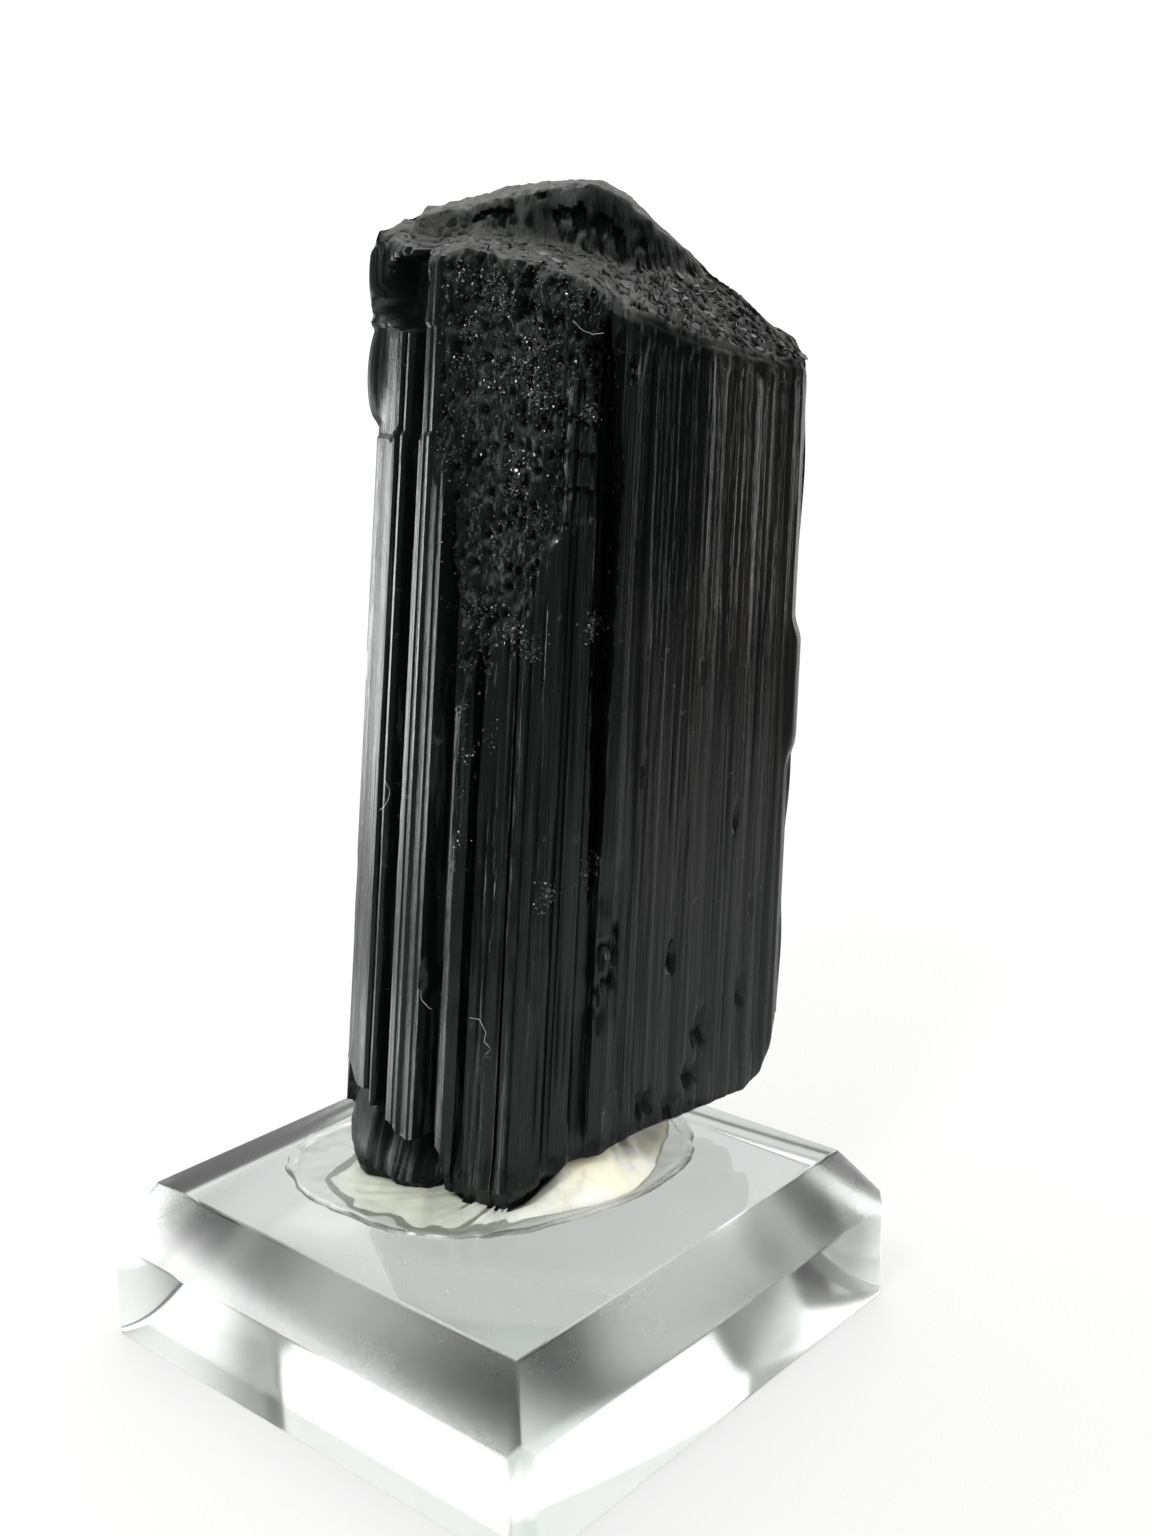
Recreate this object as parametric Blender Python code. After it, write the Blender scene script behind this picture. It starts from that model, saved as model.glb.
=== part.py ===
# Black tourmaline crystal, set in a pad of putty on a clear display block with bevelled edges.
# Metres, +Z up. The origin is the middle of the block's underside, and X and Y run along its sides.

import math
import random

import bmesh
import bpy
from mathutils import Vector, noise

MM = 0.001
SEED = 7
GAP = 0.3 * MM

# Clear block
BLOCK_SIDE = 38.0 * MM
BLOCK_TOP_SIDE = 32.6 * MM
BLOCK_HEIGHT = 10.8 * MM
CHAMFER_HEIGHT = 4.0 * MM
CORNER_CUT = 1.1 * MM
UNDERSIDE_BEVEL = 0.5 * MM

# Crystal. Its plan is drawn in millimetres across (left to right) and deep (front to back),
# turned on the block. The prism leans a little and narrows a little towards the top.
CRYSTAL_TURN = math.radians(40.8)
MIDDLE = (3.9, 4.0)
LEAN_ACROSS = 0.0615
LEAN_BACK = 0.135
TAPER_PER_MM = 0.055 / 60.0
FOOT_LEVEL = 10.8

# Plan of the prism, from the left edge along the two front faces to the right edge
FRONT_PLAN = [
    (-11.2, 2.5), (-10.9, 0.0), (-9.8, -2.4), (-8.2, -3.9), (-6.5, -4.6), (-4.6, -4.9), (-2.2, -6.0),
    (0.0, -7.1), (2.0, -7.1), (4.0, -6.2), (5.4, -5.0), (6.6, -4.2), (18.6, 6.1), (19.0, 7.0),
]
# and round the back to the left edge again
BACK_PLAN = [(18.4, 9.0), (14.5, 12.6), (5.0, 14.2), (-4.0, 13.6), (-9.2, 10.0), (-11.0, 6.0)]

# Rods and grooves of the front faces: how far each place stands back from the plan
FRONT_RELIEF = [
    (-11.2, 0.3), (-10.9, 0.0), (-10.6, 0.0), (-9.3, 0.0), (-9.15, 0.5), (-9.0, 0.1), (-8.9, 0.1),
    (-8.75, 1.5), (-8.1, 1.5), (-7.95, 0.0), (-7.65, 0.0), (-7.5, 0.0), (-6.85, 0.0), (-6.7, 0.6),
    (-6.35, 0.6), (-6.2, 0.1), (-5.6, 0.15), (-5.4, 1.2), (-4.2, 1.3), (-4.0, 0.6), (-3.0, 0.6),
    (-2.85, 1.2), (-2.5, 1.2), (-2.35, 0.5), (-1.7, 0.5), (-1.55, 0.9), (-0.95, 0.8), (-0.8, 0.35),
    (0.3, 0.3), (0.45, 0.0), (2.4, 0.0), (2.55, 0.45), (2.8, 0.45), (2.95, 0.2), (3.5, 0.25),
    (3.8, 0.28), (4.1, 0.3), (4.35, 0.9), (4.8, 0.9), (5.25, 0.9), (5.5, 0.1), (5.75, 0.05), (6.4, 0.0),
    (6.6, 0.45), (7.7, 0.4), (7.85, 0.15), (9.2, 0.22), (9.35, 0.08), (10.6, 0.1), (10.75, 0.34),
    (11.0, 0.3), (11.15, 0.08), (12.3, 0.2), (12.45, 0.07), (13.3, 0.1), (13.45, 0.33), (13.8, 0.3),
    (13.95, 0.06), (15.1, 0.1), (15.25, 0.36), (15.6, 0.3), (15.75, 0.0), (16.9, 0.2), (17.1, 0.6),
    (17.8, 0.55), (18.0, 0.1), (18.6, 0.0), (19.0, 0.0),
]

# Ribs of the back: the least and the most of each size
BACK_RIB_WIDTH = (1.3, 3.4)
BACK_GROOVE_WIDTH = (0.4, 0.9)
BACK_GROOVE_DEPTH = (0.3, 1.1)
BACK_GROOVE_FLANK = 0.15

# Heights in millimetres above the surface that the block stands on, against the distance across
FRONT_RIM = [
    (-11.2, 72.0), (-10.6, 71.2), (-7.6, 70.1), (-4.9, 70.4), (-0.3, 69.2), (2.3, 68.5), (3.6, 67.8),
    (5.0, 66.9), (7.7, 66.0), (10.6, 64.9), (15.0, 63.9), (19.0, 63.2),
]
SCALY_SLOPE = [(2.0, 0.25), (4.0, 0.33), (7.0, 0.44), (9.0, 0.52)]
BACK_RIDGE = [
    (-11.2, 73.0), (-10.2, 73.2), (-9.4, 72.9), (-8.1, 73.9), (-2.3, 75.0), (2.7, 75.8), (4.2, 75.6),
    (6.4, 74.4), (8.0, 72.6), (11.0, 70.1), (14.0, 67.9), (17.5, 65.1), (19.0, 64.0),
]
FRONT_FOOT = [
    (-11.2, 18.6), (-9.7, 17.5), (-8.5, 15.9), (-6.7, 15.1), (-4.1, 14.0), (-3.8, 13.0), (-3.4, 12.3),
    (-2.5, 11.8), (-1.2, 11.4), (0.7, 11.5), (2.9, 12.4), (4.2, 13.6), (6.4, 13.4), (9.1, 13.9),
    (16.7, 13.9), (17.9, 14.6), (18.6, 16.2), (19.0, 18.6),
]
BACK_FOOT = 14.3
BACK_FOOT_RISE = 4.3
BACK_FOOT_RISES = (16.5, 19.0)
BACK_FOOT_ROUGHNESS = 0.5

# The ridge behind the slope: how deep the foot of its steep wall lies, and its falls to front and back
RIDGE_WALL = [
    (-10.5, 0.4), (-8.0, 1.6), (-2.0, 1.6), (3.0, 2.0), (6.2, 3.4), (8.5, 5.6), (10.5, 8.2), (12.0, 9.0),
]
RIDGE_DEEP = 9.0
RIDGE_FALL_FRONT = 0.16
RIDGE_FALL_BACK = 0.35
RIDGE_WALL_HALF = 0.7
RIDGE_WALL_ROUGHNESS = 0.5
SPINE_ACROSS = (-7.5, 12.5)
SPINE_DEEP = 8.4

# Underside: the front lobe, the stub left of it, and the higher ground to the right and behind
LOWEST_FOOT = 11.4
STUB_RIGHT_EDGE = (-4.5, -3.5)
LOBE_RIGHT_EDGE = (2.0, 5.0)
RIGHT_FOOT_RISE = 1.9
BEHIND_FOOT_RISE = 2.0
BEHIND_RISES = (3.0, 8.0)
UNDERSIDE_ROUGHNESS = 0.2

# Corroded zone under the rim: its left and right edge, and how low it reaches
VUGGY_ACROSS = (-7.3, 4.2)
VUGGY_FOOT = [(-7.3, 58.0), (-6.0, 57.0), (-4.2, 43.5), (-0.4, 46.5), (1.6, 53.5), (3.4, 55.0), (4.2, 60.0)]
VUGGY_DEPTH = 0.35
VUGGY_ROUGHNESS = 0.7
RODS_WORN = 0.85

# Deep groove: the places of its two edges against the height
GROOVE_LEFT = [(30.0, 4.85), (49.0, 4.35), (58.0, 3.85), (65.5, 3.65)]
GROOVE_RIGHT = [(30.0, 5.45), (49.0, 5.65), (57.0, 5.65), (61.0, 5.2), (65.5, 4.55), (67.0, 4.3)]
GROOVE_HEIGHTS = (30.0, 66.6)
GROOVE_DEPTH = 2.0

# Breaks that stand back: middle across and in height, half width, half height, depth
NOTCH = (-9.15, 68.0, 1.85, 2.3, 2.2)
SLOT = (-1.25, 67.7, 0.6, 1.7, 0.9)

# Breaks that stand proud: two thin flakes at the left edge (middle height, half height, how proud), and a
# swelling of the right edge (its lower and upper height, how proud)
FLAKES = [(69.6, 3.7, 1.1), (63.2, 3.3, 0.95)]
FLAKE_EDGE = (-11.0, -10.4)
RIGHT_SWELLING = (36.0, 46.5, 0.5)
RIGHT_EDGE = (18.3, 18.7)
BACK_ROUGHNESS = 0.25

# Levels of the rows of the prism: plain heights up to the last, then shares of what is left to the rim
ROW_LEVELS = [21.0, 25.0, 30.5, 33.0, 38.0, 43.0, 47.0, 50.0, 53.0, 56.0, 59.0]
RIM_SHARES = [0.18, 0.36, 0.52, 0.60, 0.68, 0.80, 0.90, 0.95, 1.0]
TOP_SHARES = [0.05, 0.25, 0.45, 0.65, 0.82, 0.95]
WALL_HALF = 0.05
FOOT_SHARES = [0.0, 0.2]
FOOT_RINGS = [0.95, 0.92, 0.80, 0.45]

# Pad of putty
PAD_OUTLINE = [
    (-11.5, -9.5), (-13.5, -6.3), (-13.2, -1.0), (-11.5, 6.0), (-7.0, 12.0), (0.0, 14.5), (5.7, 13.5),
    (9.4, 9.2), (10.3, 4.1), (9.3, -1.5), (6.4, -7.6), (1.7, -11.2), (-2.5, -12.0), (-6.9, -12.0),
]
PAD_HEIGHT = 2.0 * MM
PAD_STEPS = [(1.0, 0.0), (0.985, 0.12), (0.86, 0.35), (0.70, 1.0)]
PAD_LEFT_LUMP = 0.3
PAD_RIGHT_LUMP = 1.1
PAD_SIDES = 48


def clear_scene():
    for obj in list(bpy.data.objects):
        bpy.data.objects.remove(obj, do_unlink=True)


def new_collection(name):
    collection = bpy.data.collections.new(name)
    bpy.context.scene.collection.children.link(collection)
    return collection


def new_object(name, bm, collection, material=None):
    mesh = bpy.data.meshes.new(name)
    bm.to_mesh(mesh)
    bm.free()
    obj = bpy.data.objects.new(name, mesh)
    collection.objects.link(obj)
    if material:
        mesh.materials.append(material)
    return obj


def new_material(name, color, roughness, transmission=0.0, ior=1.5):
    material = bpy.data.materials.new(name)
    material.use_nodes = True
    shader = material.node_tree.nodes["Principled BSDF"]
    shader.inputs["Base Color"].default_value = (*color, 1.0)
    shader.inputs["Metallic"].default_value = 0.0
    shader.inputs["Roughness"].default_value = roughness
    shader.inputs["Transmission Weight"].default_value = transmission
    shader.inputs["IOR"].default_value = ior
    return material


def between(table, x):
    """The value of a table of (place, value) pairs at x, straight between its entries."""
    if x <= table[0][0]:
        return table[0][1]
    for (x0, y0), (x1, y1) in zip(table, table[1:]):
        if x <= x1:
            return y0 + (y1 - y0) * (x - x0) / (x1 - x0)
    return table[-1][1]


def ramp(x, low, high):
    """0 below low, 1 above high, and smooth between."""
    share = min(max((x - low) / (high - low), 0.0), 1.0)
    return share * share * (3.0 - 2.0 * share)


def window(x, low, high, edge):
    return ramp(x, low, low + edge) * (1.0 - ramp(x, high - edge, high))


def rough(x, y, z, size):
    """Smooth noise from about -1 to 1, with lumps of the given size."""
    return noise.noise(Vector((x + SEED, y, z)) / size)


def placed(across, deep, height):
    """A point of the crystal in metres, from its place in the plan and its height in millimetres."""
    rise = height - FOOT_LEVEL
    scale = 1.0 - TAPER_PER_MM * rise
    a = (across - MIDDLE[0]) * scale + MIDDLE[0] + LEAN_ACROSS * rise
    b = deep * scale + LEAN_BACK * rise
    c, s = math.cos(CRYSTAL_TURN), math.sin(CRYSTAL_TURN)
    return Vector((a * c - b * s, a * s + b * c, height)) * MM


def back_columns():
    """Ribs of chosen widths with narrow grooves between them, along the plan of the back."""
    chance = random.Random(SEED)
    corners = [FRONT_PLAN[-1]] + BACK_PLAN + [FRONT_PLAN[0]]
    lengths = [math.dist(start, end) for start, end in zip(corners, corners[1:])]
    travelled = [sum(lengths[:i]) for i in range(len(corners))]
    across_at = list(zip(travelled, [corner[0] for corner in corners]))
    deep_at = list(zip(travelled, [corner[1] for corner in corners]))
    columns = []
    place = 0.5
    while place < travelled[-1] - BACK_RIB_WIDTH[1]:
        width = chance.uniform(*BACK_RIB_WIDTH)
        groove = chance.uniform(*BACK_GROOVE_WIDTH)
        depth = chance.uniform(*BACK_GROOVE_DEPTH)
        flank = place + width + BACK_GROOVE_FLANK
        for stop, inset in ((place, 0.0), (place + width, 0.0), (flank, depth), (flank + groove, depth)):
            columns.append((between(across_at, stop), between(deep_at, stop), inset, False))
        place = flank + groove + BACK_GROOVE_FLANK
    return columns


def plan_columns():
    """The columns of the prism: place across, place deep, inset from the plan, and if it is in front."""
    front = [(across, between(FRONT_PLAN, across), inset, True) for across, inset in FRONT_RELIEF]
    return front + back_columns()


def wall_place(across):
    return between(RIDGE_WALL, across) + RIDGE_WALL_ROUGHNESS * rough(across, 0.0, 5.0, 2.2)


def top_height(across, deep):
    """The broken upper end: a scaly slope in front, and a ridge behind it with a steep wall that runs
    back and dies out to the right."""
    scaly = between(FRONT_RIM, across) + between(SCALY_SLOPE, across) * (deep - between(FRONT_PLAN, across))
    ridge = between(BACK_RIDGE, across) - RIDGE_FALL_FRONT * max(RIDGE_DEEP - deep, 0.0)
    ridge -= RIDGE_FALL_BACK * max(deep - RIDGE_DEEP, 0.0)
    if deep > RIDGE_DEEP:
        return ridge
    foot = wall_place(across)
    wall = ramp(deep, foot - RIDGE_WALL_HALF, foot + RIDGE_WALL_HALF)
    return scaly + wall * (ridge - scaly)


def foot_height(across, deep, in_front):
    if in_front:
        return between(FRONT_FOOT, across)
    rise = BACK_FOOT_RISE * ramp(across, *BACK_FOOT_RISES)
    return BACK_FOOT + BACK_FOOT_ROUGHNESS * rough(across, deep, 2.0, 3.0) + rise


def low_height(across, deep):
    """The underside: a stub below the ledge of rods at the left, and the foot of the front lobe."""
    stub = 1.0 - ramp(across, *STUB_RIGHT_EDGE)
    right = ramp(across, *LOBE_RIGHT_EDGE)
    behind = ramp(deep, *BEHIND_RISES) * (1.0 - stub)
    foot = LOWEST_FOOT + right * RIGHT_FOOT_RISE + behind * BEHIND_FOOT_RISE
    return foot + UNDERSIDE_ROUGHNESS * rough(across, deep, 4.0, 2.0)


def hollow(across, height, middle, level, wide, tall, power):
    """1 in the middle of a rounded hollow of this half width and half height, and 0 outside it."""
    far = abs((across - middle) / wide) ** power + abs((height - level) / tall) ** power
    return 1.0 - ramp(far, 0.6, 1.25)


def vuggy_share(across, height):
    foot = between(VUGGY_FOOT, across)
    return window(across, *VUGGY_ACROSS, 0.5) * ramp(height, foot, foot + 2.0)


def features(across, height, in_front):
    """How far the surface stands back at the breaks and the deep groove, negative where it stands proud."""
    if not in_front:
        return BACK_ROUGHNESS * rough(across, height, 1.0, 6.0)
    groove = window(across, between(GROOVE_LEFT, height), between(GROOVE_RIGHT, height), 0.14)
    back = GROOVE_DEPTH * groove * window(height, *GROOVE_HEIGHTS, 1.5)
    back += NOTCH[-1] * hollow(across, height, *NOTCH[:-1], 5.0)
    back += SLOT[-1] * hollow(across, height, *SLOT[:-1], 2.0)
    outside = 1.0 - ramp(across, *FLAKE_EDGE)
    for level, half, proud in FLAKES:
        back -= proud * outside * math.sqrt(max(1.0 - ((height - level) / half) ** 2, 0.0))
    low, high, proud = RIGHT_SWELLING
    back -= proud * ramp(across, *RIGHT_EDGE) * window(height, low, high, 2.0)
    back += vuggy_share(across, height) * (VUGGY_DEPTH + VUGGY_ROUGHNESS * rough(across, height, 0.0, 1.4))
    return back


def top_share(across, deep, step):
    """How far a ring of the broken top has come from the rim to the ridge's spine. Two rings keep to
    the foot and the head of the steep wall where the rim lies in front of it."""
    foot = wall_place(across)
    wall = (foot - deep) / (SPINE_DEEP - deep) if deep < foot else 0.0
    first, last = TOP_SHARES[0], TOP_SHARES[-1]
    at_wall = [first, wall / 2, wall - WALL_HALF, wall + WALL_HALF, (1.0 + wall) / 2, last]
    blend = ramp(foot - deep, 1.5, 3.5) * (1.0 - ramp(wall, 0.75, 0.88))
    return TOP_SHARES[step] + (at_wall[step] - TOP_SHARES[step]) * blend


def crystal_rows(grow):
    """Rings of points from the middle of the underside, up the prism, to the spine of the broken top,
    moved out on every side by grow, in millimetres."""
    columns = plan_columns()
    rings = []

    def inward(across, deep, inset):
        to_middle = Vector((MIDDLE[0] - across, MIDDLE[1] - deep))
        moved = Vector((across, deep)) + to_middle.normalized() * (inset - grow)
        return moved.x, moved.y

    def scaled(across, deep, share):
        return MIDDLE[0] + (across - MIDDLE[0]) * share, MIDDLE[1] + (deep - MIDDLE[1]) * share

    feet = [foot_height(c[0], c[1], c[3]) - grow for c in columns]
    rims = [top_height(c[0], c[1]) for c in columns]
    base_ring = [inward(c[0], c[1], c[2]) for c in columns]
    for share in reversed(FOOT_RINGS):
        ring = []
        for (across, deep), foot in zip(base_ring, feet):
            x, y = scaled(across, deep, share)
            low = low_height(x, y)
            height = foot + 0.15 if share > 0.94 else min(low, foot - 0.05)
            ring.append((x, y, height - grow))
        rings.append(ring)

    levels = []
    for column, foot, rim in zip(columns, feet, rims):
        first = [foot + (ROW_LEVELS[0] - foot) * share for share in FOOT_SHARES]
        last = [ROW_LEVELS[-1] + (rim - ROW_LEVELS[-1]) * share for share in RIM_SHARES]
        levels.append(first + ROW_LEVELS + last)
    for row in range(len(levels[0])):
        ring = []
        for column, heights in zip(columns, levels):
            across, deep, inset, in_front = column
            height = heights[row]
            worn = in_front * RODS_WORN * vuggy_share(across, height)
            x, y = inward(across, deep, inset * (1.0 - worn) + features(across, height, in_front))
            ring.append((x, y, height))
        rings.append(ring)

    rim_ring = [(x, y) for x, y, height in rings[-1]]
    for step in range(len(TOP_SHARES)):
        ring = []
        for across, deep in rim_ring:
            share = top_share(across, deep, step)
            target = min(max(across, SPINE_ACROSS[0]), SPINE_ACROSS[1])
            x = across + (target - across) * share
            y = deep + (SPINE_DEEP - deep) * share
            ring.append((x, y, top_height(x, y) + 0.3 * rough(x, y, 8.0, 1.6)))
        rings.append(ring)
    return rings


def crystal_mesh(grow=0.0):
    """The prism as a loft of its rings, closed by a fan underneath and along the spine at the top."""
    rings = crystal_rows(grow)
    bm = bmesh.new()
    loops = [[bm.verts.new(placed(*point)) for point in ring] for ring in rings]
    count = len(loops[0])
    for lower, upper in zip(loops, loops[1:]):
        for i in range(count):
            j = (i + 1) % count
            bm.faces.new((lower[i], lower[j], upper[j], upper[i]))
    low = bm.verts.new(placed(MIDDLE[0], MIDDLE[1], low_height(*MIDDLE) - grow))
    for i in range(count):
        j = (i + 1) % count
        bm.faces.new((loops[0][j], loops[0][i], low))
    bm.faces.new(loops[-1])
    bmesh.ops.triangulate(bm, faces=bm.faces)
    return bm


def block_mesh():
    """A square block whose top edges are ground to wide chamfers, with its four corners cut to facets."""
    bm = bmesh.new()
    bmesh.ops.create_cube(bm, size=1.0)
    side_height = BLOCK_HEIGHT - CHAMFER_HEIGHT
    for vert in bm.verts:
        vert.co.x *= BLOCK_SIDE
        vert.co.y *= BLOCK_SIDE
        vert.co.z = side_height * (vert.co.z > 0)
    top = [face for face in bm.faces if face.normal.z > 0.9]
    raised = bmesh.ops.extrude_face_region(bm, geom=top)["geom"]
    for vert in [item for item in raised if isinstance(item, bmesh.types.BMVert)]:
        vert.co.x *= BLOCK_TOP_SIDE / BLOCK_SIDE
        vert.co.y *= BLOCK_TOP_SIDE / BLOCK_SIDE
        vert.co.z = BLOCK_HEIGHT
    bmesh.ops.delete(bm, geom=top, context="FACES_ONLY")
    corner = BLOCK_SIDE / 2 - CORNER_CUT / 2
    for x, y in ((1, 1), (-1, 1), (-1, -1), (1, -1)):
        geometry = bm.verts[:] + bm.edges[:] + bm.faces[:]
        place = (corner * x, corner * y, 0.0)
        cut = bmesh.ops.bisect_plane(bm, geom=geometry, plane_co=place, plane_no=(x, y, 0.0), clear_outer=True)
        open_edges = [item for item in cut["geom_cut"] if isinstance(item, bmesh.types.BMEdge)]
        bmesh.ops.contextual_create(bm, geom=open_edges)
    bottom_edges = [edge for edge in bm.edges if all(abs(vert.co.z) < 1e-6 for vert in edge.verts)]
    bmesh.ops.bevel(bm, geom=bottom_edges, offset=UNDERSIDE_BEVEL, segments=1, affect="EDGES")
    bmesh.ops.recalc_face_normals(bm, faces=bm.faces)
    return bm


def pad_ring():
    """The pad's outline as a smooth closed curve through its points."""
    points = [Vector(point) for point in PAD_OUTLINE]
    count = len(points)
    ring = []
    for i in range(PAD_SIDES):
        place = i * count / PAD_SIDES
        k = int(place)
        t = place - k
        p0, p1, p2, p3 = (points[(k + n) % count] for n in (-1, 0, 1, 2))
        ring.append(
            0.5 * (2 * p1 + (p2 - p0) * t + (2 * p0 - 5 * p1 + 4 * p2 - p3) * t**2
                   + (3 * p1 - p0 - 3 * p2 + p3) * t**3)
        )
    return ring


def pad_mesh():
    """A low mound with a thin edge."""
    ring = pad_ring()
    middle = sum(ring, Vector((0.0, 0.0))) / len(ring)
    bm = bmesh.new()
    loops = []
    for share, height in PAD_STEPS:
        loops.append([])
        for i, point in enumerate(ring):
            place = middle + (point - middle) * share
            across = place.x * math.cos(CRYSTAL_TURN) + place.y * math.sin(CRYSTAL_TURN)
            lump = PAD_LEFT_LUMP + (PAD_RIGHT_LUMP - PAD_LEFT_LUMP) * ramp(across, 2.0, 7.0)
            lump += 0.15 * rough(place.x, place.y, 6.0, 3.0)
            z = BLOCK_HEIGHT + GAP + PAD_HEIGHT * height * lump
            loops[-1].append(bm.verts.new((place.x * MM, place.y * MM, z)))
    for lower, upper in zip(loops, loops[1:]):
        for i in range(PAD_SIDES):
            j = (i + 1) % PAD_SIDES
            bm.faces.new((lower[i], lower[j], upper[j], upper[i]))
    bm.faces.new(loops[-1])
    bm.faces.new(list(reversed(loops[0])))
    bmesh.ops.recalc_face_normals(bm, faces=bm.faces)
    bmesh.ops.triangulate(bm, faces=bm.faces)
    return bm


def cut_seat(pad, cutters):
    """Cuts the place where the crystal stands out of the pad, with the gap all round."""
    cutter = new_object("crystal_seat", crystal_mesh(GAP / MM), cutters)
    cutter.hide_render = True
    cutter.display_type = "WIRE"
    cut = pad.modifiers.new("seat", "BOOLEAN")
    cut.operation = "DIFFERENCE"
    cut.solver = "EXACT"
    cut.object = cutter


def main():
    clear_scene()
    parts = new_collection("tourmaline_crystal")
    cutters = new_collection("cutters")
    glass = new_material("clear_block", (0.93, 0.97, 0.95), 0.03, 1.0, 1.5)
    stone = new_material("black_tourmaline", (0.012, 0.013, 0.013), 0.3)
    cream = new_material("cream_putty", (0.86, 0.84, 0.72), 0.45)
    new_object("base", block_mesh(), parts, glass)
    new_object("crystal", crystal_mesh(), parts, stone)
    pad = new_object("putty", pad_mesh(), parts, cream)
    cut_seat(pad, cutters)


main()
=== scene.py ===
# Black tourmaline crystal, set in a pad of putty on a clear display block.
# Millimetres while the shapes are worked out, metres in the finished meshes.

import math
import random

import bmesh
import bpy
import numpy as np
from mathutils import Matrix, Vector, noise


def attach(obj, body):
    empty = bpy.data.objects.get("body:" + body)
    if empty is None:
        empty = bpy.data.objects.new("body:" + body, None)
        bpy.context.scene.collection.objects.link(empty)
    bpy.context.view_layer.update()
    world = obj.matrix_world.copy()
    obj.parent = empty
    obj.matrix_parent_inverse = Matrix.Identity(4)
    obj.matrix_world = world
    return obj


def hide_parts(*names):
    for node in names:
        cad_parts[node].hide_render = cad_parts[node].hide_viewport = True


mm = 0.001

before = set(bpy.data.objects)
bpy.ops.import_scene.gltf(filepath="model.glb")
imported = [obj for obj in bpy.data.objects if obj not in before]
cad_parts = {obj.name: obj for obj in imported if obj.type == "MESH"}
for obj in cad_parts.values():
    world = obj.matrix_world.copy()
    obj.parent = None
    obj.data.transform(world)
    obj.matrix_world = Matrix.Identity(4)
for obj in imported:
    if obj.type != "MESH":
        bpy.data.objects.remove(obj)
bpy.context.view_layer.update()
print("frame loaded")


# small helpers

def between(table, x):
    places, values = zip(*table)
    return np.interp(x, places, values)


def ramp(x, low, high):
    share = np.clip((x - low) / (high - low), 0.0, 1.0)
    return share * share * (3.0 - 2.0 * share)


def window(x, low, high, edge):
    return ramp(x, low, low + edge) * (1.0 - ramp(x, high - edge, high))


def lumps(x, y, z, size):
    # smooth noise, -1 to 1, with lumps of this size
    x, y, z = np.broadcast_arrays(x, y, z)
    points = np.stack([x + 7.0, y, z], -1).reshape(-1, 3) / size
    return np.array([noise.noise(p) for p in points.tolist()]).reshape(x.shape)


def rough(x, y, *layers):
    # noise in layers, each with its amount, its own seed and the size of its lumps
    return sum(amount * lumps(x, y, seed, size) for amount, seed, size in layers)


def zone(across, height, sideways, upright):
    # a window on a face of the crystal: low, high and soft edge, both ways
    return window(across, *sideways) * window(height, *upright)


def overCells(x, y, size, seed, value):
    # works a value out at every point from its place in a field of irregular cells of this size
    x, y = np.broadcast_arrays(x, y)
    spots = zip((x / size[0]).ravel().tolist(), (y / size[1]).ravel().tolist())
    found = [value(px, py, *noise.voronoi((px, py, seed))) for px, py in spots]
    return np.array(found).reshape(x.shape)


def shards(x, y, size, tilt, seed):
    # broken facets, -1 to 1: every cell has a level and a slope of its own
    def level(px, py, far, homes):
        home = homes[0]
        turn = noise.cell_vector(home * 13.7)
        slope = (px - home.x) * (turn.x - 0.5) + (py - home.y) * (turn.y - 0.5)
        return (noise.cell(home * 7.3) * 2.0 - 1.0) * (1.0 - tilt) + slope * 3.0 * tilt

    return overCells(x, y, size, seed, level)


def dimples(x, y, size, share, seed):
    # rounded pits in a share of the cells: 1 in the middle of each, 0 between them
    def depth(px, py, far, homes):
        return max(0.0, 1.0 - far[0] / 0.6) if noise.cell(homes[0] * 9.1) < share else 0.0

    return ramp(overCells(x, y, size, seed, depth), 0.0, 0.8)


def linked(name, data):
    obj = bpy.data.objects.new(name, data)
    bpy.context.scene.collection.objects.link(obj)
    return obj


def finished(name, mesh, material, smooth):
    # smooth: None for flat faces, or the angle in degrees past which an edge stays sharp
    mesh.materials.append(material)
    if smooth:
        mesh.shade_smooth()
        mesh.set_sharp_from_angle(angle=math.radians(smooth))
    return linked(name, mesh)


def newMesh(name, verts, faces, material, smooth=None):
    mesh = bpy.data.meshes.new(name)
    mesh.from_pydata([tuple(v) for v in verts], [], [tuple(f) for f in faces])
    return finished(name, mesh, material, smooth)


def outward(obj):
    bm = bmesh.new()
    bm.from_mesh(obj.data)
    bmesh.ops.recalc_face_normals(bm, faces=bm.faces)
    bm.to_mesh(obj.data)
    bm.free()


def band(low, high, count):
    # the faces between two closed rings of points, which start at these indices
    return [(low + i, low + (i + 1) % count, high + (i + 1) % count, high + i) for i in range(count)]


def readArray(items, key, kind=np.float32, width=1):
    values = np.empty(len(items) * width, kind)
    items.foreach_get(key, values)
    return values


def writeField(mesh, name, values):
    # a named value on every point, which the materials and the node trees read
    mesh.attributes.new(name, "FLOAT", "POINT").data.foreach_set("value", np.asarray(values, np.float32))


def dress(obj, node):
    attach(obj, "root")
    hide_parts(node)


# node trees as Python expressions

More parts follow.
